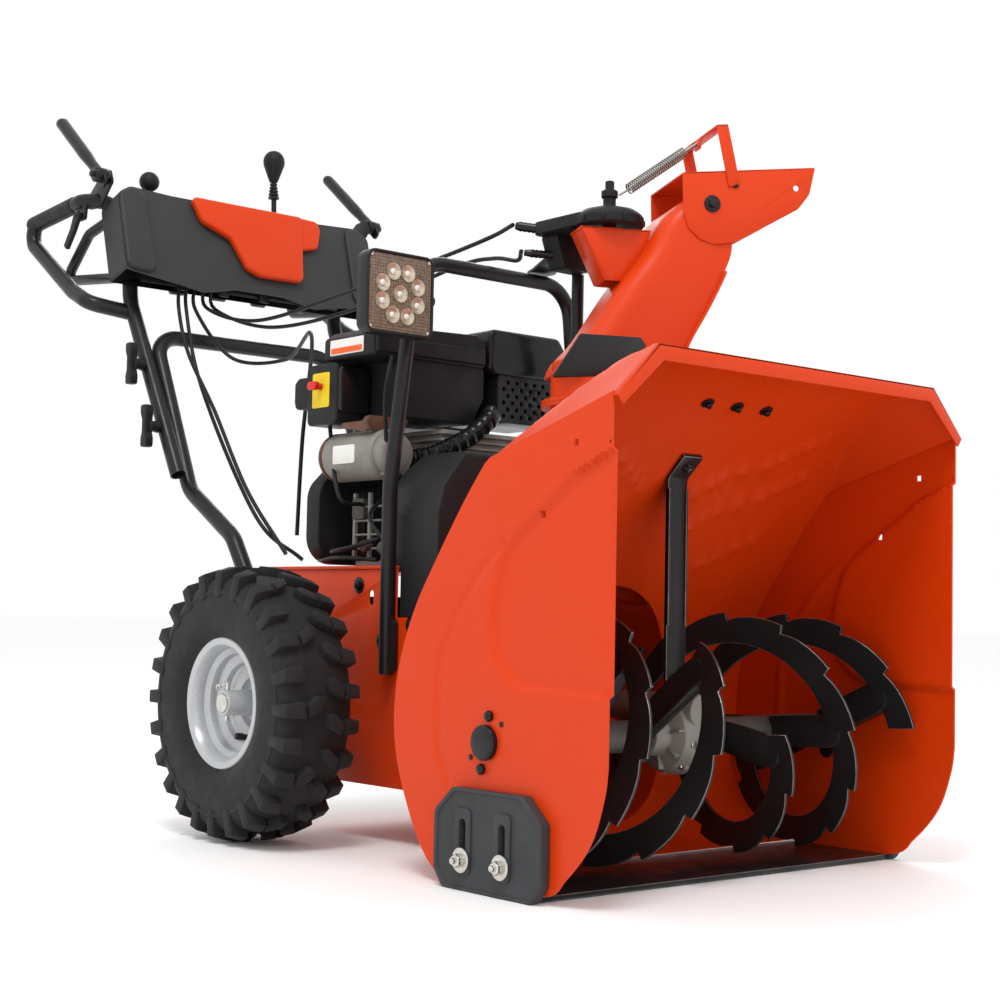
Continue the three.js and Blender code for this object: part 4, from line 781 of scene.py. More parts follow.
def tyre(side):
    body = f"wheel_{named(side)}"
    centre = (side * WHEEL_X, AXLE_Y, AXLE_Z)
    outer = [(77, -41), (84, -44.5), (90, -47), (96, -52), (106, -55), (118, -56), (132, -56), (144, -55.4),
             (145.5, -56.4), (148, -56.4), (149.5, -54.8), (158, -52), (164.5, -46), (168, -38), (170, -24),
             (171, -8)]
    profile = outer + [(r, -x) for r, x in reversed(outer)]
    inner = [(80, 38), (94, 40), (130, 48), (155, 44), (162, 30), (163, 0)]
    profile += inner + [(r, -x) for r, x in reversed(inner[:-1])]
    profile.append(profile[0])
    cover = Build().lathe([(r, x) for r, x in profile], centre, (centre[0] + 1, *centre[1:]), 120)
    put(f"carcass_{named(side)}", cover, body, TREAD, [f"tyre_{named(side)}"], angle=28)
    lugs = Build()
    for i in range(LUGS):
        turn = i / LUGS * math.tau
        for row in (-1, 1):
            shift = turn + (0.5 / LUGS * math.tau if row > 0 else 0)
            lugs.mesh(*lug_block([(row * 29, -11), (row * 57, -10), (row * 57, 8), (row * 32, 11)], side,
                                 shift, -14, 0.92))
            if i % 2 == 0 or row > 0:
                lugs.mesh(*lug_block([(row * 1, 15), (row * 6, 1), (row * 26, -10), (row * 29, 5),
                                      (row * 12, 18)],
                                     side, shift, -6, 0.94))
    put(f"tread_{named(side)}", lugs, body, TREAD, bevel=1.3, segments=2)
    ribs = Build()
    for i in range(LUGS):
        for row in (-1, 1):
            turn = i / LUGS * math.tau + (0.5 / LUGS * math.tau if row > 0 else 0)
            points = []
            for r, out in ((169, 50), (158, 55.5), (149, 56.6)):
                for d in (-6.5, 6.5):
                    angle = turn + d / 160
                    points.append((side * WHEEL_X + row * out, AXLE_Y + r * math.sin(angle),
                                   AXLE_Z + r * math.cos(angle)))
            for r, out in ((166, 44), (150, 50), (146, 52)):
                for d in (-7, 7):
                    angle = turn + d / 160
                    points.append((side * WHEEL_X + row * out, AXLE_Y + r * math.sin(angle),
                                   AXLE_Z + r * math.cos(angle)))
            ribs.mesh(points, [(0, 1, 3, 2), (2, 3, 5, 4), (6, 8, 9, 7), (8, 10, 11, 9), (0, 2, 8, 6),
                               (2, 4, 10, 8),
                               (1, 7, 9, 3), (3, 9, 11, 5), (0, 6, 7, 1), (4, 5, 11, 10)])
    put(f"shoulder_ribs_{named(side)}", ribs, body, TREAD, bevel=1.0, segments=2)


def rim(side):
    body = f"wheel_{named(side)}"
    x0 = side * WHEEL_X
    barrel = [(86, -47), (87.5, -45.5), (86.5, -43.5), (80, -43), (77, -39), (75.5, -27), (69, -22),
              (66.5, -17),
              (66.5, 17), (69, 22), (75.5, 27), (77, 39), (80, 43), (86.5, 43.5), (87.5, 45.5), (86, 47),
              (78, 45.5),
              (74, 40), (72.5, 28), (66, 23), (64, 17), (64, -17), (66, -23), (72.5, -28), (74, -40),
              (78, -45.5),
              (86, -47)]
    put(f"rim_barrel_{named(side)}", Build().lathe(barrel, (x0, AXLE_Y, AXLE_Z), (x0 + 1, AXLE_Y, AXLE_Z),
                                                   96), body,
        RIM, [f"rim_{named(side)}"], angle=32)
    dish = [(16, -14), (30, -14), (33, -12), (35, -6), (38, -3), (50, -2), (53, 0), (55, 7), (58, 10.5),
            (65, 12),
            (65, 14.5), (57, 13), (53, 10), (51, 3), (48, 0.6), (37, -0.4), (33, -3), (31, -9), (29, -11.4),
            (16, -11.4),
            (16, -14)]
    disc = Build().lathe([(r, side * d) for r, d in dish], (x0, AXLE_Y, AXLE_Z), (x0 + 1, AXLE_Y, AXLE_Z), 96)
    sleeve = [(12.9, -50), (16, -50), (17, -49), (17, 41), (16.3, 43), (12.9, 43), (12.9, -50)]
    disc.lathe([(r, d) for r, d in sleeve], (x0, AXLE_Y, AXLE_Z), (x0 + side, AXLE_Y, AXLE_Z), 48)
    put(f"rim_disc_{named(side)}", disc, body, RIM, angle=32)
    axle = Build().lathe([(0, 0), (11.5, 0), (12.5, 1), (12.5, 323), (11.5, 324), (0, 324)],
                         (side * 22, AXLE_Y, AXLE_Z), (side * 23, AXLE_Y, AXLE_Z), 40)
    put(f"half_axle_{named(side)}", axle, body, ZINC, [f"axle_{named(side)}"])
    pin = Build().tube(rounded([(x0 + side * 36, AXLE_Y, AXLE_Z + 27),
                                (x0 + side * 36, AXLE_Y + 0.5, AXLE_Z + 21),
                                (x0 + side * 36, AXLE_Y + 1, AXLE_Z - 24)], 0.2), 2.4, 12)
    pin.tube(rounded([(x0 + side * 36, AXLE_Y - 6, AXLE_Z + 21), (x0 + side * 37, AXLE_Y - 18, AXLE_Z + 22),
                      (x0 + side * 38, AXLE_Y + 24, AXLE_Z + 23),
                      (x0 + side * 37, AXLE_Y + 26, AXLE_Z + 17)], 3), 1.3, 10)
    put(f"klick_pin_{named(side)}", pin, body, ZINC)
    valve = Build().bar((x0 + side * 8, AXLE_Y - 26, AXLE_Z - 46),
                        (x0 + side * 30, AXLE_Y - 24, AXLE_Z - 43), 4.6,
                        3.8, 24, round_end=1.5)
    valve.bar((x0 + side * 26, AXLE_Y - 24.5, AXLE_Z - 43.5),
              (x0 + side * 37, AXLE_Y - 23.4, AXLE_Z - 42.1), 5, 4.6, 24,
              round_end=2)
    put(f"valve_{named(side)}", valve, body, GLOSS_BLACK, bevel=0.4)


for side in SIDES:
    tyre(side)
    rim(side)

# ---------------------------------------------------------------- drive frame
def drive_frame():
    half, front, back, bottom, top = 165, 375, 860, 75, 367
    shape = [(front, bottom), (front, 302), (554, 302), (554, top), (back, top), (back, 250), (800, bottom)]
    shell = Build().slab("x", shape, -half, half)
    cutters = [Build().box((-half + SHEET, front - 9, bottom + SHEET), (half - SHEET, back + 9, top - SHEET)),
               Build().box((-half + SHEET, front - 9, bottom + 20), (half - SHEET, 586, top + 9)),
               Build().box((-half + SHEET, front - 9, bottom - 9), (half - SHEET, 460, top + 9)),
               Build().box((-60, 575, top - 9), (60, 600, top + 9)),
               Build().lathe(rect(0, 0, AXLE_CLEAR, 400), (-200, AXLE_Y, AXLE_Z),
                             (0, AXLE_Y, AXLE_Z), 40)]
    for y, z0, z1 in ((522, 215, 292), (612, 318, 338)):
        cutters.append(Build().slab("x", outline(rect(y - 5, z0, y + 5, z1), 4.5), -300, 300))
    put("frame_shell", shell, "chassis", ORANGE, ["drive_frame"], cutters=cutters, bevel=1.5, segments=3)
    put("deck_lip", Build().slab("x", outline(rect(556, 366.8, 864, 371.5), 2), -168, -150)
        .slab("x", outline(rect(556, 366.8, 864, 371.5), 2), 150, 168), "chassis", ORANGE,
        bevel=0.8)
    hubs, heads = Build(), Build()
    for side in SIDES:
        face = side * half
        hubs.lathe([(13.2, 0), (26, 0), (26, 7), (20, 9.5), (13.2, 9.5), (13.2, 0)], (face, AXLE_Y, AXLE_Z),
                   (face + side, AXLE_Y, AXLE_Z), 48)
        for y, z in ((640, 345), (520, 292), (585, 270), (420, 260), (532, 110), (430, 110), (760, 330),
                     (760, 140)):
            heads.bolt((face, y, z), (side, 0, 0), 12, 5, stud=2.5)
    put("axle_bearings", hubs, "chassis", DARK_ALLOY, bevel=0.6)
    put("frame_bolts", heads, "chassis", GLOSS_BLACK, bevel=0.4)
    box = Build().slab("x", outline([(635, 120), (770, 120), (770, 290), (720, 330), (635, 330)], 14), -110,
                       110)
    slot_cut = [Build().box((-20, 660, 150), (20, 740, 900)),
                Build().lathe(rect(0, 0, 13, 400), (-200, AXLE_Y, AXLE_Z), (0, AXLE_Y, AXLE_Z), 40)]
    put("transmission_case", box, "chassis", BLACK_PAINT, ["transmission"], cutters=slot_cut, bevel=3,
        segments=3)


drive_frame()

# ---------------------------------------------------------------- belt drive
GROOVE_28 = [(0, -10), (27.5, -10), (28, -9.5), (28, -7), (19, -2.8), (19, 2.8), (28, 7), (28, 9.5),
             (27.5, 10), (0, 10)]


def pulley(build, radius, y, z):
    wide = [(max(0, r + radius - 28) if r else 0, d) for r, d in GROOVE_28]
    return build.lathe(wide, (0, y, z), (0, y + 1, z), 72)


# Pulleys of the engine and of the impeller, whose shaft ends in a worm.
crank = pulley(pulley(Build(), 28, 505, CRANK_Z), 34, 531, CRANK_Z)
crank.bar((0, 495, CRANK_Z), (0, 606, CRANK_Z), 12.6, sides=40)
put("crank_pulleys", crank, "crank", STEEL, ["crank_pulley"], bevel=0.4)
driven = pulley(Build(), 98, 505, DRUM_Z).bar((0, 236, DRUM_Z), (0, 530, DRUM_Z), 10, sides=40)
driven.bar((0, 162, DRUM_Z), (0, 238, DRUM_Z), 6.6, sides=32)
driven.tube([(7.9 * math.sin(a + math.pi), AUGER_Y + 6.911 * (a / math.tau - 1.5),
              DRUM_Z + 7.9 * math.cos(a + math.pi))
             for a in (math.tau * (k / 24 + 0.5) for k in range(49))], 1.3, 8)
put("impeller_spindle", driven, "impeller_line", STEEL, ["impeller_shaft"], bevel=0.4)


def belt_loop(extra):
    high, low = 19 + extra, 89 + extra
    lean = math.asin((low - high) / (CRANK_Z - DRUM_Z))
    upper = [(high * math.cos(a), CRANK_Z + high * math.sin(a))
             for a in (lean + k / 24 * (math.pi - 2 * lean) for k in range(25))]
    lower = [(low * math.cos(a), DRUM_Z + low * math.sin(a))
             for a in (math.pi - lean + k / 48 * (math.pi + 2 * lean) for k in range(49))]
    return upper + lower


put("drive_belt", Build().slab("y", belt_loop(8), 502.2, 507.8), "chassis", BELT, ["auger_belt"],
    cutters=[Build().slab("y", belt_loop(0.8), 480, 540)], bevel=0.8)

# Guard over the belt.
shoulder = [(-160, 303), (160, 303), (160, 440), (150, 478), (112, 526), (-112, 526), (-150, 478),
            (-160, 440)]
cover = Build().slab("y", outline(shoulder, [1, 1, 12, 14, 12, 12, 14, 12], 4),
                     474, 586)
keep = Build().slab("x", outline([(474, 303), (553, 303), (553, 368), (586, 368), (586, 498),
                                                       (566, 526), (474, 526)], [1, 1, 2, 2, 14, 12, 10],
                                 4), -170, 170)
hollow = Build().slab("y", [(x * 0.98, z - 3) for x, z in shoulder], 477, 583)
put("belt_guard", cover, "chassis", COVER_GREY, ["belt_cover"], trim=keep, bevel=2.4, segments=3,
    cutters=[hollow, Build().bar((0, 560, CRANK_Z), (0, 700, CRANK_Z), 14)])

# ---------------------------------------------------------------- engine
# Crankcase, cylinder and their fittings.
block = Build().box((-105, 592, 367.5), (105, 735, 381))
block.slab("y", outline([(-112, 376), (100, 376), (112, 400), (112, 480), (70, 520), (-84, 520),
                         (-112, 480)], 14),
           592, 738)
block.slab("y", outline([(-60, 392), (60, 392), (84, 437), (60, 482), (-60, 482), (-84, 437)], 18), 588, 600)
for k in range(6):
    block.bolt((-74 + 30 * k, 590, 398 if k % 2 else 476), (0, -1, 0), 11, 6)
for z in (398, 418, 438, 458):
    block.slab("y", rect(-115.5, z - 1.6, -110, z + 1.6), 600, 730)
for y in (606, 642, 690, 726):
    block.box((-116, y - 3, 382), (-110, y + 3, 478))
put("crankcase", block, "chassis", ALLOY, ["engine_block"], bevel=2.2, segments=3,
    cutters=[
    Build().bar((0, 570, CRANK_Z), (0, 800, CRANK_Z), 14)])
barrel = Build().box((-42, 620, 502), (100, 712, 570))
for k in range(6):
    z = 515 + k * 9.5
    barrel.slab("z", outline(rect(-50, 612, 106, 720), 10), z, z + 3.4)
put("cylinder", barrel, "chassis", ALLOY, bevel=0.9, segments=2)
plug = Build().bar((-113, 650, 398), (-124, 650, 398), 9, sides=6).bar((-113, 690, 404), (-126, 690, 400), 8)
plug.slab("x", outline([(612, 392), (636, 392), (640, 414), (616, 420)], 4), -117.5, -111)
plug.slab("x", outline(rect(700, 440, 728, 470), 5), -118, -111)
put("block_fittings", plug, "chassis", DARK_ALLOY, bevel=0.8)

# Starter motor and its bracket.
starter = Build().lathe([(0, 0), (30, 0), (33, 2), (35, 5), (35, 115), (33, 119), (0, 119)],
                        (STARTER_X, 622, STARTER_Z),
                        (STARTER_X, 623, STARTER_Z), 72)
starter.lathe([(0, 0), (22, 0), (27, 3), (30, 8), (30, 21), (0, 21)], (STARTER_X, 602, STARTER_Z),
              (STARTER_X, 603, STARTER_Z), 72)
for z in (500, 556):
    starter.bar((-143, 604, z), (-143, 735, z), 3.2, sides=14)
put("starter_can", starter, "chassis", ALLOY, ["starter_motor"], bevel=0.8)
end_cone = Build().lathe([(0, 0), (34, 0), (35.5, 2), (34, 7), (27, 13), (24, 21), (0, 21)],
                         (STARTER_X, 741, STARTER_Z),
                         (STARTER_X, 742, STARTER_Z), 72)
end_cone.bar((STARTER_X, 758, STARTER_Z), (STARTER_X, 768, STARTER_Z), 8, sides=24, round_end=3)
put("starter_end", end_cone, "chassis", BROWN, bevel=0.6)
bracket = Build().slab("y", outline([(-162, 560), (-108, 560), (-96, 574), (-96, 580), (-162, 580),
                                     (-168, 572)], 4),
                       628, 640)
bracket.slab("x", outline([(640, 558), (700, 566), (700, 574), (640, 574)], 3), -160, -154)
put("starter_bracket", bracket, "chassis", BROWN, bevel=1.0)
plate_space = Matrix.Translation((-166.1, 684, 528))
put("starter_plate", Build(plate_space).slab("x", outline(rect(-26, -13, 26, 13), 3), -0.5, 1.5),
    "chassis", PALE, bevel=0.3)

# Recoil starter shroud and its grip.
shroud_edge = outline([(-148, 376), (140, 376), (140, 500), (64, 574), (-60, 574), (-148, 486)], 40, 8)
shroud = Build().slab("y", shroud_edge, 768, 800)
shroud.lathe([(0, 0), (92, 0), (88, 4), (86, 12), (80, 15), (0, 15)], (0, 800, RECOIL_Z),
             (0, 801, RECOIL_Z), 96)
shroud.slab("y", outline(rect(-88, 384, 100, 490), 12), 739, 769)
for k in range(4):
    a = math.radians(45 + 90 * k)
    shroud.bolt((104 * math.cos(a), 800, RECOIL_Z + 92 * math.sin(a)), (0, 1, 0), 9, 4)
vents = []
for k in range(20):
    a = k / 20 * math.tau
    vents.append(Build().slab("y", [(r * math.cos(a + d), RECOIL_Z + r * math.sin(a + d))
                                    for r, d in ((44, -0.09), (74, -0.055), (74, 0.055), (44, 0.09))], 806,
                              830))
put("recoil_shroud", shroud, "chassis", BLACK_PLASTIC, ["recoil_cover"], bevel=2, segments=3,
    cutters=vents)
grip = Build().slab("z", outline([(-32, 812.5), (32, 812.5), (30, 826), (18, 830), (-18, 830), (-30, 826)],
                                 5), 533, 547)
grip.bar((0, 792, 540), (0, 813, 540), 3, 5, sides=20)
put("pull_grip", grip, "starter_grip", BLACK_PLASTIC, ["recoil_handle"], bevel=2.4, segments=3)

# Air cleaner with a blank panel on its side.
air = Build().slab("y", outline([(-166, 664), (36, 664), (36, 698), (20, 711), (-150, 705.5), (-166, 694)],
                                8), 618, 738)
air.slab("y", outline([(-112, 581), (14, 581), (36, 620), (36, 668), (-112, 668)], 8), 622, 738)
for k in range(5):
    air.slab("y", outline([(-118 + 26 * k, 700), (-106 + 26 * k, 700), (-108 + 26 * k, 710),
                           (-116 + 26 * k, 710)], 2),
             640, 716)
air.slab("z", outline(rect(-164, 611, 30, 622), 4), 668, 690)
put("air_cleaner", air, "chassis", BLACK_PLASTIC, ["air_box"], bevel=3.4, segments=4)
labels = Build()
labels.slab("x", outline(rect(642, 670, 722, 692), 2), -167, -165.6)
put("blank_panel", labels, "chassis", PALE, bevel=0.2)
stripe = Build().slab("x", outline(rect(645, 672, 719, 680), 1), -167.6, -166.6)
put("blank_stripe", stripe, "chassis", ORANGE_EDGE)

# Guard over the carburettor, with the key in its side.
carb = Build().slab("x", outline([(702, 573), (776, 573), (776, 655), (768, 661), (710, 661), (702, 655)], 9),
                    -168, -113)
carb.slab("x", outline([(776, 601), (818, 601), (822, 612), (822, 640), (812, 647), (776, 647)], 8), -160,
          -118)
put("carb_guard", carb, "chassis", BLACK_PLASTIC, ["carburettor_cover"], bevel=3, segments=4)
front_panel = Build().slab("y", outline(rect(-166, 590, -116, 655), 6), 694, 703)
put("carb_panel", front_panel, "chassis", GLOSS_BLACK, bevel=2, segments=3)
put("plain_label", Build().slab("x", outline(rect(720, 598, 762, 648), 3), -168.6, -167.2),
    "chassis", YELLOW, bevel=0.2)
key = Build().bar((-168.6, 740, 628), (-179, 740, 628), 5, sides=32)
key.slab("x", outline([(731, 622), (749, 622), (751, 628), (749, 634), (731, 634), (729, 628)], 4), -186,
         -178)
put("key_grip", key, "key", RED, ["ignition_key"], bevel=1.2, segments=3)

# Silencer box on a perforated one.
muffler = Build().slab("y", outline([(38, 657), (192, 657), (192, 700), (174, 724), (38, 724)], 14, 8), 612,
                       738)
put("muffler_guard", muffler, "chassis", GLOSS_BLACK, ["muffler"], bevel=7, segments=5,
    limit=50)
holes = []
for k in range(6):
    z = 598 + k * 10
    holes += [Build().bar((70 + i * 17 + (8 if k % 2 else 0), 610, z),
                          (70 + i * 17 + (8 if k % 2 else 0), 623, z),
                          3.4, sides=14) for i in range(6)]
    holes += [Build().bar((173, 630 + i * 20, z), (186, 630 + i * 20, z), 3.2, sides=12) for i in range(5)]
lower_box = Build().slab("y", outline(rect(58, 588, 182, 659), 8), 617, 731)
put("muffler_plate", lower_box, "chassis", BLACK_PAINT, bevel=1.6, segments=2,
    cutters=holes)

# Fuel tank and its cap.
tank = Build().slab("z", outline(rect(-100, 742, 150, 850), 24, 8), 590, 664)
tank.slab("z", outline(rect(-92, 750, 142, 842), 20, 8), 586, 668)
tank.slab("z", outline(rect(-104, 738.5, 154, 854), 26, 8), 622, 629)
tank.lathe([(0, 0), (26, 0), (26, 3), (22, 5), (22, 13), (0, 13)], (CAP_X, CAP_Y, 666),
           (CAP_X, CAP_Y, 667), 48)
put("tank_shell", tank, "chassis", BLACK_PLASTIC, ["fuel_tank"], bevel=4, segments=4)
cap_edge = []
for k in range(96):
    a = k / 96 * math.tau
    r = 31 - (1.6 if k % 4 in (0, 1) else 0)
    cap_edge.append((CAP_X + r * math.cos(a), CAP_Y + r * math.sin(a)))
cap = Build().slab("z", cap_edge, 679.4, 692).lathe([(0, 0), (30, 0), (29, 3), (24, 5), (0, 5)],
                                                    (CAP_X, CAP_Y, 692),
                                                    (CAP_X, CAP_Y, 693), 64)
put("filler_cap", cap, "tank_cap", BLACK_PLASTIC, ["fuel_cap"], bevel=0.6)

# Intake hose and loose leads.
hoses = Build()
hoses.tube(through([(-96, 636, 520), (-60, 604, 534), (-10, 596, 560), (30, 600, 590), (40, 612, 600)], 60),
           lambda t: 13 + 1.4 * math.sin(t * 150), 24)
put("intake_hose", hoses, "chassis", GLOSS_BLACK)
leads = Build()
leads.tube(through([(-150, 606, 540), (-158, 600, 600), (-150, 604, 640), (-140, 612, 662)], 36), 3, 12)
leads.tube(through([(-118, 650, 470), (-150, 640, 440), (-146, 600, 400), (-120, 590, 386)], 36), 3, 12)
leads.tube(through([(-118, 700, 460), (-160, 700, 470), (-150, 740, 560), (-150, 742, 590)], 36), 3, 12)
leads.tube(through([(-112, 720, 400), (-170, 700, 392), (-168, 640, 400), (-126, 604, 420)], 36), 3, 12)
leads.tube(through([(-152, 618, 380), (-160, 700, 384), (-130, 790, 382), (-100, 812, 400)], 36), 3, 12)
put("engine_leads", leads, "chassis", SHEATH)

# ---------------------------------------------------------------- light bar and lamp
# Hoop over the engine.
bar_side = [(175.8, 560, 226), (175.8, 560, 480), (154, 560, 664), (140, 560, 790)]
bar_path = rounded([(-x, y, z) for x, y, z in bar_side] + [(x, y, z) for x, y, z in reversed(bar_side)],
                   [0, 120, 160, 52, 52, 160, 120, 0], 9)
hoop = Build().tube(bar_path, 10.3, 28)
for side in SIDES:
    hoop.slab("x", outline(rect(547, 228, 573, 300), 9), *span(side, 166.2, 176))
    hoop.bolt((side * 176, 560, 248), (side, 0, 0), 12, 6, stud=3)
    hoop.bolt((side * 176, 560, 284), (side, 0, 0), 12, 6, stud=3)
put("light_hoop", hoop, "chassis", BLACK_PAINT, ["light_bar"], bevel=0.8)
# Arm that carries the lamp.
mount = Build().slab("x", outline([(512, 707), (549, 707), (549, 752), (530, 752), (512, 742)], 4), -152.4,
                     -149.2)
mount.slab("y", outline(rect(-153, 701, -131, 752), 4), 545.8, 549.2)
mount.bar((-154.4, 519, 726), (-144, 519, 726), 8, sides=32)
put("lamp_arm", mount, "chassis", BLACK_PAINT, ["lamp_bracket"], bevel=0.8)
# Lamp body, finned behind.
face = rect(LAMP_X - 55, LAMP_Z - 55, LAMP_X + 55, LAMP_Z + 55)
head = Build().slab("y", outline(face, 14, 8), 500, 523)
for k in range(-3, 4):
    head.slab("x", outline([(520, LAMP_Z - 50), (533, LAMP_Z - 50), (538, LAMP_Z - 40), (538, LAMP_Z + 40),
                            (533, LAMP_Z + 50), (520, LAMP_Z + 50)], 3), LAMP_X + 14 * k - 2,
              LAMP_X + 14 * k + 2)
window = rect(LAMP_X - 51, LAMP_Z - 51, LAMP_X + 51, LAMP_Z + 51)
put("lamp_body", head, "lamp", BLACK_PAINT, ["lamp_head"], bevel=1.4, segments=3,
    cutters=[Build().slab("y", outline(window, 11, 8), 490, 507.9)])
bolts = Build()
for sx in SIDES:
    for sz in (-1, 1):
        bolts.lathe([(0, 0), (3.2, 0), (2.6, 1.4), (0, 1.4)], (LAMP_X + sx * 47.5, 502, LAMP_Z + sz * 47.5),
                    (LAMP_X + sx * 47.5, 501, LAMP_Z + sz * 47.5), 20)
put("lamp_screws", bolts, "lamp", ZINC, bevel=0.3)


def lamp_front():
    """A pyramid-moulded lens with nine clear bowls, each holding its emitter."""
    half, y0 = 50.4, 503.6
    bowls = [(0, 0)] + [(31 * math.cos(a), 31 * math.sin(a))
                        for a in (k / 8 * math.tau + 0.39 for k in range(8))]
    count = 96
    rows = []
    for i in range(count + 1):
        z = -half + i * 2 * half / count
        row = []
        for k in range(count + 1):
            x = -half + k * 2 * half / count
            near = min(math.hypot(x - bx, z - bz) for bx, bz in bowls)
            rib = 0.9 * (abs((x / 4.2) % 1 - 0.5) + abs((z / 4.2) % 1 - 0.5)) if near > 12 else -0.6
            row.append((LAMP_X + x, y0 - rib, LAMP_Z + z))
        rows.append(row)
    put("lamp_glass", Build().grid(rows), "lamp", AMBER, ["lamp_lens"], thick=2.2, thick_offset=0,
        angle=20)
    cups = Build()
    for bx, bz in bowls:
        at = (LAMP_X + bx, y0 + 0.4, LAMP_Z + bz)
        cups.lathe([(3, 0.6), (7, 1.4), (10, 2.9), (11.4, 3.1), (11.4, 0), (3, 0), (3, 0.6)], at,
                   (at[0], at[1] - 1, at[2]), 36)
    put("lamp_bowls", cups, "lamp", LED)
    emitters = Build()
    for bx, bz in bowls:
        at = (LAMP_X + bx, y0 + 0.2, LAMP_Z + bz)
        emitters.lathe([(0, 0), (4.2, 0), (4, 1.6), (2.6, 2.6), (0, 2.9)], at, (at[0], at[1] - 1, at[2]), 24)
    put("lamp_emitters", emitters, "lamp", PALE)


lamp_front()

# ---------------------------------------------------------------- chute
def along(build, shape, low, high):
    """An outline of (reach, height) pairs pushed across the chute."""
    return build.slab("x", [(-u, z) for u, z in shape], low, high)


BACK = curve([(-74, 622), (-66, 640), (-38, 672), (4, 738), (38, 786), (62, 832), (98, 863)], 30)
FRONT = curve([(74, 622), (90, 665), (116, 712), (139, 760), (150, 798), (140, 850),
                                      (134, 867)], 30)


def chute_sheet():
    half, round_back = 60.4, 24
    rows = []
    for (bu, bz), (fu, fz) in zip(BACK, FRONT):
        reach = math.dist((bu, bz), (fu, fz))
        du, dz = (fu - bu) / reach, (fz - bz) / reach
        corner = min(round_back, reach * 0.8)
        side = [(half, 1.0 - k / 9 * (1 - corner / reach)) for k in range(10)]
        points = [(x, t * reach) for x, t in side]
        points += [(half - corner + corner * math.cos(a), corner - corner * math.sin(a))
                   for a in (k / 7 * math.pi / 2 for k in range(1, 8))]
        points += [((half - corner) * (1 - k / 4), 0) for k in range(1, 4)]
        whole = points + [(0, 0)] + [(-x, t) for x, t in reversed(points)]
        row = []
        for x, t in whole:
            press = 1.6 * smooth_step((min(t - 18, reach - 18 - t)) / 8) if abs(x) > half - 0.5 else 0
            row.append((x + (press if x > 0 else -press) * 0.75, -(bu + du * t), bz + dz * t))
        rows.append(row)
    return rows


put("chute_channel", Build(CHUTE_SPACE).grid(chute_sheet()), "chute_assembly", ORANGE, ["chute"], thick=2.6,
    thick_offset=0, bevel=0.6, segments=1, angle=35)
# Turning skirt and the flanges of the channel above it.
skirt = Build(CHUTE_SPACE).lathe([(74, 5), (74, 40), (72, 56), (69.5, 56), (71, 40), (71, 0), (86, 0),
                                  (86, 5), (74, 5)],
                                 (0, 0, 585), (0, 0, 586), 72)
put("chute_skirt", skirt, "chute_assembly", ORANGE, bevel=0.6,
    cutters=[Build(CHUTE_SPACE).slab("x", [(-58, 690), (52, 690), (56, 628), (40, 614), (-50, 614)], -57,
                                     57)])
flanges = Build(CHUTE_SPACE)
for side in SIDES:
    edge = [(u, z) for u, z in FRONT if z < 767]
    rings = []
    for i, (u, z) in enumerate(edge):
        rings.append([(side * 59.5, -u - 1.2, z - 0.8), (side * 69.8, -u - 1.2, z - 0.8),
                      (side * 69.8, -u + 1.5, z + 0.9),
                      (side * 59.5, -u + 1.5, z + 0.9)])
    flanges.loft(rings)
put("chute_flanges", flanges, "chute_assembly", ORANGE, bevel=0.6)
# Bracket that hangs the channel from the head.
gusset = Build(CHUTE_SPACE)
for x in (-26, 23):
    along(gusset, [(-46, 818), (50, 818), (40, 786), (13, 748), (-10, 748)], x, x + 3)
along(gusset, [(-46, 815), (46, 815), (48, 818), (-46, 818)], -26, 26)
along(gusset, [(-46, 818), (-43, 815), (-8, 750), (-12, 748)], -26, 26)
gusset.bar((0, 0, 812), (0, 0, 838), 8.8, sides=40)
put("chute_bracket", gusset, "chute_assembly", ORANGE, bevel=1.2)
# Pivots of the deflector.
rivets = Build(CHUTE_SPACE)
for side in SIDES:
    rivets.lathe([(0, 0), (11, 0), (11, 1.6), (8, 2.4), (0, 2.6)], (side * 65.6, -120, 850),
                 (side * 66.6, -120, 850), 32)
    rivets.bolt((side * 65.6, -120, 850), (side, 0, 0), 12, 6)
    rivets.lathe([(0, 0), (5, 0), (4.4, 2.2), (0, 3)], (side * 65.6, -152, 878), (side * 66.6, -152, 878), 24)
put("hood_pivots", rivets, "deflector_hood", GLOSS_BLACK, bevel=0.5)

# Deflector hood with its pull loop and spring.
HOOD_SIDE = outline([(79, 889), (265, 910), (257, 873), (241, 852), (165, 808), (145, 800),
                                          (124, 797), (104, 802), (88, 816), (81, 836)],
                                         [3, 2, 18, 16, 20, 20, 20, 14, 12, 8], 4)
hood = Build(CHUTE_SPACE)
for side in SIDES:
    along(hood, HOOD_SIDE, *span(side, 62.6, 65.4))
along(hood, [(79.6, 889), (264.6, 909.9), (264.3, 907), (79.6, 886)], -65.4, 65.4)
along(hood, [(262, 909.6), (264.8, 909.8), (261, 894), (258.6, 894.4)], -64, 64)
hood_holes = [along(Build(CHUTE_SPACE), [(238 + 4 * math.cos(a), 880 + 4 * math.sin(a))
                                         for a in (k / 20 * math.tau for k in range(20))], -90, 90)]
put("hood_shell", hood, "deflector_hood", ORANGE, ["deflector"], bevel=0.9, segments=2,
    cutters=hood_holes)
strap_loop = Build(CHUTE_SPACE)
for side in SIDES:
    along(strap_loop, [(142, 874), (158, 878), (140, 957), (124, 955)], *span(side, 65.5, 68.4))
along(strap_loop, [(124.6, 952.4), (140.6, 954.2), (140, 957), (124, 955)], -68.4, 68.4)
along(strap_loop, [(122, 938), (125, 938.6), (126, 954), (123, 954)], -9, 9)
put("hood_loop", strap_loop, "deflector_hood", ORANGE, bevel=0.9)
coil = []
start, end = Vector((0, -26, 877.4)), Vector((0, -104, 934))
axis = (end - start).normalized()
normal = axis.orthogonal().normalized()
cross = axis.cross(normal)
TURNS = 30
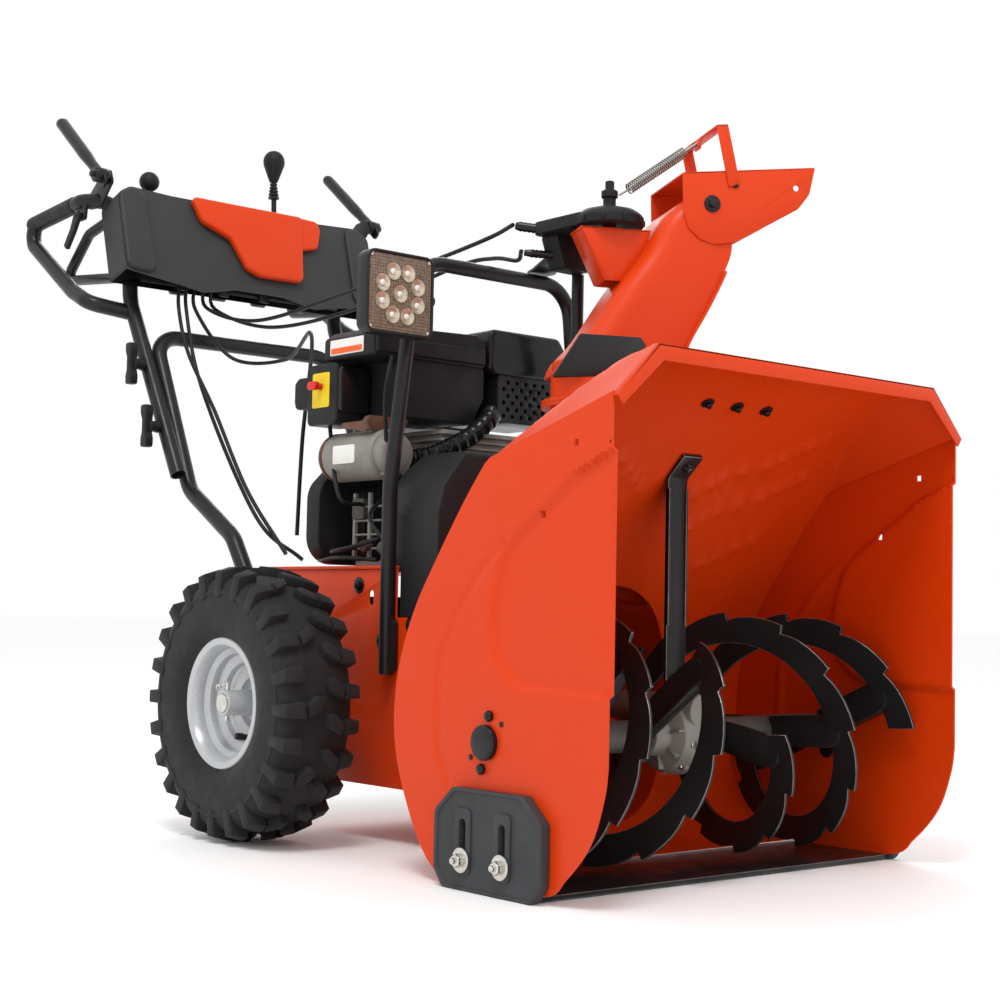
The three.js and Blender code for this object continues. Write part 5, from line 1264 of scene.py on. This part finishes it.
for k in range(TURNS * 14 + 1):
    t = k / (TURNS * 14)
    a = t * TURNS * math.tau
    coil.append(start.lerp(end, t) + (normal * math.cos(a) + cross * math.sin(a)) * 6.6)
spring = Build(CHUTE_SPACE).tube(coil, 1.15, 8)
spring.tube([(0, -13, 868.5), (0, -20, 873), (0, -28, 878.6)], 1.5, 12)
spring.tube([(0, -103, 933.2), (0, -112, 940), (0, -121, 946)], 2.2, 12)
put("tilt_spring", spring, "chute_assembly", STEEL, ["deflector_spring"], angle=60)

# ---------------------------------------------------------------- chute head and post
# Head: a dome on a block, with ribs and a skirt, on the arm of the hoop.
dome = Build().lathe([(0, 0), (44, 0), (46, 1.5), (46, 12), (43, 16), (36, 21.5), (20, 26), (11, 28),
                      (8.5, 31),
                      (8.5, 39), (11, 41), (11, 49), (8, 51), (6, 51), (6, 62), (4.5, 63), (0, 63)],
                     (CHUTE_X, CHUTE_Y, 823), (CHUTE_X, CHUTE_Y, 824), 80)
pin_bores = [Build().bar((CHUTE_X, CHUTE_Y, 800), (CHUTE_X, CHUTE_Y, 843), 9.6) for _ in range(2)]
put("head_dome", dome, "chassis", BLACK_PLASTIC, ["chute_head"], bevel=1.6, segments=3,
    cutters=pin_bores[:1])
block = Build().slab("z", outline(rect(-32, 342, 52, 446), 12), 823.4, 840.6)
put("head_block", block, "chassis", BLACK_PLASTIC, bevel=1.6, segments=3,
    cutters=pin_bores[1:])
details = Build().slab("y", outline([(-16, 826), (34, 826), (54, 779), (2, 779)], 5), 414, 446)
for k in range(5):
    details.slab("z", outline(rect(-26 + 16 * k, 390, -20 + 16 * k, 438), 2),
                 839, 842.5)
for k in range(10):
    a = k / 10 * math.tau
    details.slab("z", [(CHUTE_X + r * math.cos(a + d), CHUTE_Y + r * math.sin(a + d))
                       for r, d in ((45, -0.06), (48.2, -0.05), (48.2, 0.05), (45, 0.06))], 826, 834)
put("head_details", details, "chassis", BLACK_PLASTIC, bevel=1.2, segments=2)
arm = Build().slab("z", outline([(0, 440), (34, 440), (104, 548), (104, 574), (72, 574), (60, 548)], 5),
                   801.6, 805.8)
arm.bolt((82, 560, 805.8), (0, 0, 1), 12, 6)
arm.bolt((18, 448, 805.8), (0, 0, 1), 12, 6)
put("head_arm", arm, "chassis", BLACK_PAINT, bevel=0.9)
glands = Build()
for a, b, r in (((-12, 440, 833), (-40, 470, 839), 7), ((-2, 436, 799), (-34, 458, 801), 6)):
    a, b = Vector(a), Vector(b)
    long = (b - a).length
    steps = [(0, 0), (r, 0)] + [(r - (0.9 if k % 2 else 0), 4 + k * 3) for k in range(int((long - 8) / 3))]
    glands.lathe(steps + [(r * 0.7, long), (0, long)], a, b, 32)
put("cable_glands", glands, "chassis", GLOSS_BLACK)
# Post from the neck up to the head, and the flap in front of the chute.
post = Build().bar((46, 436, 520), (46, 436, 778.5), 8.4, sides=32)
post.slab("z", outline(rect(20, 412.8, 60, 432), 4), 500, 556)
post.box((22, 428, 502), (58, 439.8, 538))
post.bolt((30, 413, 528), (0, -1, 0), 12, 5)
put("head_post", post, "chassis", BLACK_PAINT, ["chute_post"], bevel=0.9)
flap = Build().slab("y", outline([(-203, 590), (-198, 597), (-158, 648), (-57, 655), (-46, 645),
                                  (-120, 600)], 2),
                    208, 211)
flap.slab("y", outline(rect(-128, 488, -106, 640), 3), 211.2, 214.2)
flap.bolt((-117, 214, 622), (0, 1, 0), 11, 5)
put("chute_flap", flap, "chassis", BLACK_PAINT, bevel=0.6)

# ---------------------------------------------------------------- handlebar
lower = [(LOWER_X, 798, 205), (LOWER_X, 841, 264), (LOWER_X, 951, 417), (LOWER_X, 1083, 493),
         (LOWER_X, 1212, 752)]
lower_path = rounded(flip(lower, -1) + list(reversed(lower)), [0, 60, 60, 60, 45, 45, 60, 60, 60, 0], 10)
lower_bar = Build().tube(lower_path, 12.5, 32, wall=0.2)
for side in SIDES:
    for y, z in ((815, 228), (838, 260)):
        lower_bar.bolt((side * (LOWER_X + 11.6), y, z), (side, 0, 0), 13, 6, stud=3)
put("lower_bar", lower_bar, "chassis", BLACK_PAINT, ["lower_handle"], angle=50)


def upper_side(side):
    tube_path = rounded([(side * UPPER_X, 1076, 515), (side * UPPER_X, 1251, 812),
                         (side * UPPER_X, 1262, 968)],
                        [0, 80, 0], 12)
    body = Build().tube(tube_path, 12.5, 32, wall=0.2)
    g = side * GRIP_X
    loop = rounded([(side * UPPER_X, 1262, 958), (g - side * 20, 1270, 973), (g, 1300, 973), (g, 1483.2, 961),
                    (g, 1471.2, 924), (g, 1320, 826), (g, 1262, 800), (side * UPPER_X, 1245, 790)],
                   [0, 20, 20, 20, 20, 50, 24, 0], 8)
    body.tube(loop, 12.6, 28)
    brace = rounded([(side * 226, 1268, 952), (side * 226, 1360, 935), (side * 226, 1442, 866),
                     (side * 226, 1250, 846)],
                    [0, 30, 12, 0], 8)
    body.tube(brace, 8.8, 24)
    body.slab("y", outline([(min(side * 202, side * 232), 941), (max(side * 202, side * 232), 941),
                            (max(side * 202, side * 232), 961), (min(side * 202, side * 232), 961)], 3),
              1256, 1267)
    body.slab("y", outline([(min(side * 202, side * 232), 839), (max(side * 202, side * 232), 839),
                            (max(side * 202, side * 232), 853), (min(side * 202, side * 232), 853)], 3),
              1243, 1263)
    put(f"upper_bar_{named(side)}", body, "chassis", BLACK_PAINT, [f"upper_handle_{named(side)}"],
        angle=50)
    plate = Build().slab("x", outline([(1222, 996), (1232, 1018), (1262, 1014), (1302, 986), (1302, 962),
                                       (1262, 960)], 6), *span(side, 254.7, 258.4))
    plate.bar((side * 255, LEVER_Y, LEVER_Z), (side * 288, LEVER_Y, LEVER_Z), 4, sides=24)
    plate.bolt((side * 285.6, LEVER_Y, LEVER_Z), (side, 0, 0), 11, 4, washer=False)
    plate.slab("x", outline([(1280, 975), (1312, 975), (1310, 941), (1284, 941)], 5),
               *span(side, 269.2, 274.8))
    plate.bar((side * 270, 1297, 948), (side * 284.6, 1297, 948), 2.1, sides=20)
    put(f"lever_plate_{named(side)}", plate, "chassis", BLACK_PAINT, bevel=0.6)
    grip = rounded([(g, 1322, 971.6), (g, 1480.6, 961.2)], 0)
    grip_build = Build().tube([Vector(grip[0]).lerp(Vector(grip[-1]), k / 80) for k in range(81)],
                              lambda t: 13.9 - (0.55 if int(t * 80) % 4 == 0 else 0) - 1.2 * max(0,
                                      (t - 0.97) / 0.03),
                              36)
    put(f"hand_grip_{named(side)}", grip_build, "chassis", BLACK_PLASTIC, angle=60)


def clutch_lever(side):
    g = side * GRIP_X
    start, end = Vector((g, LEVER_Y, LEVER_Z)), Vector((g, *LEVER_TIP))
    way = (end - start).normalized()
    rings = []
    over = Vector((side, 0, 0))
    up = over.cross(way)
    for k in range(41):
        t = k / 40
        d = t * ((end - start).length + 12)
        swell = 9.5 + 3 * smooth_step((t - 0.1) / 0.3)
        if t > 0.94:
            swell *= math.sqrt(max(0.02, 1 - ((t - 0.94) / 0.06) ** 2))
        flat = 0.82 + 0.18 * (1 - smooth_step((t - 0.05) / 0.2))
        centre = start + way * d
        rings.append([centre + over * (swell * math.cos(a)) + up * (swell * flat * math.sin(a))
                      for a in (i / 28 * math.tau for i in range(28))])
    lever = Build().loft(rings)
    lever.lathe([(4.4, 0), (11, 0), (12.4, 1.4), (12.4, 22.6), (11, 24), (4.4, 24), (4.4, 0)],
                (g - 12, LEVER_Y, LEVER_Z), (g - 11, LEVER_Y, LEVER_Z), 48)
    lever.slab("x", outline([(1226, 1011), (1243, 998), (1226, 983), (1215, 990)], 4),
               *span(side, 270.2, 273.8))
    put(f"paddle_{named(side)}", lever, f"lever_{named(side)}", GLOSS_BLACK, [f"clutch_lever_{named(side)}"],
        angle=50)


for side in SIDES:
    upper_side(side)
    clutch_lever(side)
    blade = Build().slab("x", outline([(1290, 954), (1306, 954), (1318, 930), (1340, 904), (1330, 896),
                                       (1306, 922),
                                       (1290, 944)], 3.2), *span(side, 275.7, 282.7))
    put(f"trigger_{named(side)}", blade, f"trigger_{named(side)}", BLACK_PLASTIC,
        [f"steering_trigger_{named(side)}"],
        bevel=1.4, segments=3)
    for level, (y, z) in (("upper", (1174, 696)), ("lower", (1118, 592))):
        face = side * (UPPER_X + 13)
        wing = [(y - 9, z - 33.5), (y + 9, z - 33.5), (y + 9.6, z - 20), (y + 6, z - 10), (y + 6, z + 10),
                (y + 11, z + 20), (y + 11.6, z + 33.5), (y - 7.4, z + 33.5), (y - 8, z + 20), (y - 6, z + 10),
                (y - 6, z - 10), (y - 9.6, z - 20)]
        turn = Build().lathe([(0, 0), (9, 0), (10, 3), (8, 12), (11.6, 16), (11.6, 20), (0, 22)],
                             (face, y, z),
                             (face + side, y, z), 40)
        turn.slab("x", outline(wing, 4.5), *sorted((face + side * 14.4, face + side * 27.6)))
        put(f"knob_wings_{level}_{named(side)}", turn, f"knob_{level}_{named(side)}", BLACK_PLASTIC,
            [f"{level}_knob_{named(side)}"], bevel=1.8, segments=3)

# ---------------------------------------------------------------- console
# Hollow console shell and its ends.
panel_edge = [(-250, 14), (-250, 150), (-224, 166), (-150, 162), (150, 162), (224, 166), (250, 150),
              (250, 14),
              (180, 4), (110, -8), (46, 6), (-46, 6), (-110, -8), (-180, 4)]
hollow_edge = [(-247, -40), (-247, 148), (-222, 163), (-150, 159), (150, 159), (222, 163), (247, 148),
               (247, -40)]
panel_shape = outline(panel_edge, [8, 22, 18, 30, 30, 18, 22, 8, 30, 20, 20, 20, 20, 30], 5)
panel = Build(CONSOLE_SPACE).slab("y", panel_shape, 0.3, 57.7)
panel_cuts = [Build(CONSOLE_SPACE).slab("y", hollow_edge, 3.3, 120),
              Build(CONSOLE_SPACE).slab("z", outline(rect(-180, 8, -158, 50), 8), 130, 200),
              Build(CONSOLE_SPACE).slab("z", outline(rect(38, 6, 106, 52), 8), 130, 200)]
put("console_shell", panel, "chassis", GREY_PLASTIC, ["console"], bevel=9, segments=5,
    limit=60,
    cutters=panel_cuts)
ends = Build(CONSOLE_SPACE)
for side in SIDES:
    ends.slab("y", [(side * x, z) for x, z in outline([(196, 10), (248, 16), (248, 148), (224, 163),
                                                       (200, 160)], 16,
                                                      6)], -6, 3)
put("console_ends", ends, "chassis", GREY_PLASTIC, bevel=5.2, segments=4, limit=50)
slots = Build(CONSOLE_SPACE)
slots.slab("z", outline(rect(-184, 4, -154, 54), 8), 160.5, 164.4)
put("lever_bezel", slots, "chassis", BLACK_PLASTIC, bevel=1, cutters=[
    Build(CONSOLE_SPACE).slab("z", outline(rect(-177, 10, -161, 48), 6), 150, 170)])
# Orange lid.
cover_shape = outline([(-118, 162), (-102, 118), (-50, 95), (-25, 42), (0, 32), (86, 33),
                                            (104, 162)], [8, 18, 14, 16, 18, 14, 8], 6)
put("console_lid", Build(CONSOLE_SPACE).slab("y", cover_shape, -14.4, -0.4), "chassis", ORANGE,
    ["console_cover"],
    bevel=5, segments=5, limit=50)
crest = outline([(90, 96), (130, 106), (141, 144), (135, 160), (92, 162)], [5, 10, 12, 8, 5], 6)
put("console_crest", Build(CONSOLE_SPACE).slab("y", crest, -11, -0.4), "chassis", ORANGE, bevel=4,
    segments=5, limit=50)
# Beam under the console.
beam = Build().slab("x", outline(rect(1230, 842, 1262, 866), 4), -196, 196)
for x in (-120, -40, 40, 120):
    beam.bar((x - 12, 1246, 840), (x + 12, 1246, 840), 9, sides=24)
    beam.slab("y", outline([(x - 10, 836), (x + 10, 836), (x + 14, 880), (x - 14, 880)], 4), 1226, 1229)
put("console_beam", beam, "chassis", BLACK_PAINT, bevel=1.2)

# Speed lever and joystick.
speed = Build().bar((SPEED_X, 1247, 935), (SPEED_X, 1262, 1014), 4, sides=28)
speed.lathe([(0, -16.6), (6, -16), (8, -13)] + [(16.8 * math.sin(a), -16.8 * math.cos(a))
                                              for a in (0.6 + k * 0.1586 for k in range(16))] + [(0, 16.8)],
            (SPEED_X, 1263, 1018), (SPEED_X, 1263, 1019), 48)
put("speed_ball", speed, "speed_stick", BLACK_PLASTIC, ["speed_lever"], angle=50)
joy = Build().bar((JOYSTICK_X, 1250, 935), (JOYSTICK_X, 1258, 1074), 4.5, sides=28)
pear = curve([(7, 1059), (10.5, 1068), (14.5, 1079), (18.7, 1092), (17.6, 1103), (12, 1111),
                                     (5, 1114.4)], 22)
joy.lathe([(0, 1058.6 - 1050), *[(r, z - 1050) for r, z in pear], (0, 1114.8 - 1050)],
          (JOYSTICK_X, 1258, 1050),
          (JOYSTICK_X, 1258, 1051), 48)
for k in range(5):
    joy.lathe([(4, 0), (9.5 - 0.8 * k, 0.8), (9.5 - 0.8 * k, 4), (4, 5)],
              (JOYSTICK_X, 1256 + k * 0.4, 1028 + k * 6),
              (JOYSTICK_X, 1256 + k * 0.4, 1029 + k * 6), 32)
put("joystick", joy, "chute_stick", BLACK_PLASTIC, ["chute_lever"], angle=50)

# ---------------------------------------------------------------- cables
ROUTES = [
    [(-140, 1202, 850), (-144, 1196, 800), (-150, 1150, 720), (-152, 1060, 620), (-150, 960, 490),
     (-130, 878, 392)],
    [(-125, 1202, 850), (-130, 1196, 800), (-140, 1120, 660), (-146, 940, 450), (-100, 878, 384)],
    [(-110, 1202, 850), (-112, 1196, 800), (-60, 1160, 722), (-20, 1060, 715), (-80, 900, 730),
     (-125, 850, 560),
     (-120, 865, 420)],
    [(-95, 1202, 850), (-90, 1196, 806), (-50, 1100, 780), (-30, 880, 800), (-22, 660, 824), (-26, 540, 836),
     (-41.6, 474, 840.6)],
    [(-80, 1202, 850), (-74, 1196, 806), (-30, 1090, 770), (-6, 880, 780), (10, 660, 816), (6, 570, 815),
     (-10, 500, 800), (-36.5, 461.5, 803)],
]
looms = Build()
for route in ROUTES:
    looms.tube(through(route, 110), 3.1, 12)
put("bowden_cables", looms, "chassis", SHEATH, ["control_cables"])
clamp = Build().slab("y", outline(rect(-150, 846, -60, 872), 6), 1196.4, 1207.6)
put("cable_clamp", clamp, "chassis", BLACK_PLASTIC, bevel=1.6, segments=3)

# ---------------------------------------------------------------- floor, light and camera
CAMERA_PLACE, CAMERA_LENS = (-1.558, -2.0365, 0.3158), 62.1
CAMERA_ANGLES = (49.67, 3.62, 1.14)


def floor_material():
    made = bpy.data.materials.new("pale_floor")
    made.use_nodes = True
    nodes, links = made.node_tree.nodes, made.node_tree.links
    shader = nodes["Principled BSDF"]
    shader.inputs["Specular IOR Level"].default_value = 0.2
    place = nodes.new("ShaderNodeTexCoord").outputs["Object"]
    noise = nodes.new("ShaderNodeTexNoise")
    noise.inputs["Scale"].default_value = 0.6
    ramp = nodes.new("ShaderNodeValToRGB")
    ramp.color_ramp.elements[0].color = (0.96, 0.96, 0.96, 1)
    ramp.color_ramp.elements[1].color = (0.97, 0.97, 0.97, 1)
    links.new(place, noise.inputs["Vector"])
    links.new(noise.outputs["Fac"], ramp.inputs["Fac"])
    links.new(ramp.outputs["Color"], shader.inputs["Base Color"])
    shader.inputs["Roughness"].default_value = 0.6
    return made


def stage_floor():
    mesh = bpy.data.meshes.new("floor")
    mesh.from_pydata([(-30, -30, 0), (30, -30, 0), (30, 30, 0), (-30, 30, 0)], [], [(0, 1, 2, 3)])
    floor = bpy.data.objects.new("floor", mesh)
    mesh.materials.append(floor_material())
    bpy.context.scene.collection.objects.link(floor)


def area_light(name, place, target, size, power):
    light = bpy.data.lights.new(name, "AREA")
    light.shape = "DISK"
    light.size = size
    light.energy = power
    lamp = bpy.data.objects.new(name, light)
    lamp.location = place
    lamp.rotation_euler = (Vector(target) - Vector(place)).to_track_quat("-Z", "Y").to_euler()
    bpy.context.scene.collection.objects.link(lamp)


def studio():
    world = bpy.data.worlds.new("studio")
    world.use_nodes = True
    world.node_tree.nodes["Background"].inputs["Color"].default_value = (1, 1, 1, 1)
    world.node_tree.nodes["Background"].inputs["Strength"].default_value = 1.0
    bpy.context.scene.world = world
    bpy.context.scene.view_settings.view_transform = "Standard"
    area_light("key", (-1.8, -1.6, 4.0), (0, 0, 0.4), 1.3, 75)
    area_light("front", (-0.6, -4.0, 2.2), (0, 0, 0.4), 2.6, 8)
    area_light("back", (2.6, 2.6, 3.0), (0, 0, 0.5), 2.4, 40)


def photo_camera():
    yaw, pitch, roll = (math.radians(angle) for angle in CAMERA_ANGLES)
    ahead = Vector((math.cos(pitch) * math.cos(yaw), math.cos(pitch) * math.sin(yaw), math.sin(pitch)))
    right = Vector((math.sin(yaw), -math.cos(yaw), 0))
    up = right.cross(ahead)
    across = right * math.cos(roll) + up * math.sin(roll)
    top = up * math.cos(roll) - right * math.sin(roll)
    data = bpy.data.cameras.new("camera")
    data.lens = CAMERA_LENS
    data.sensor_width = 36
    data.clip_start = 0.05
    data.clip_end = 60
    camera = bpy.data.objects.new("camera", data)
    turn = Matrix((across, top, -ahead)).transposed().to_4x4()
    camera.matrix_world = Matrix.Translation(CAMERA_PLACE) @ turn
    bpy.context.scene.collection.objects.link(camera)
    bpy.context.scene.camera = camera


stage_floor()
studio()
photo_camera()
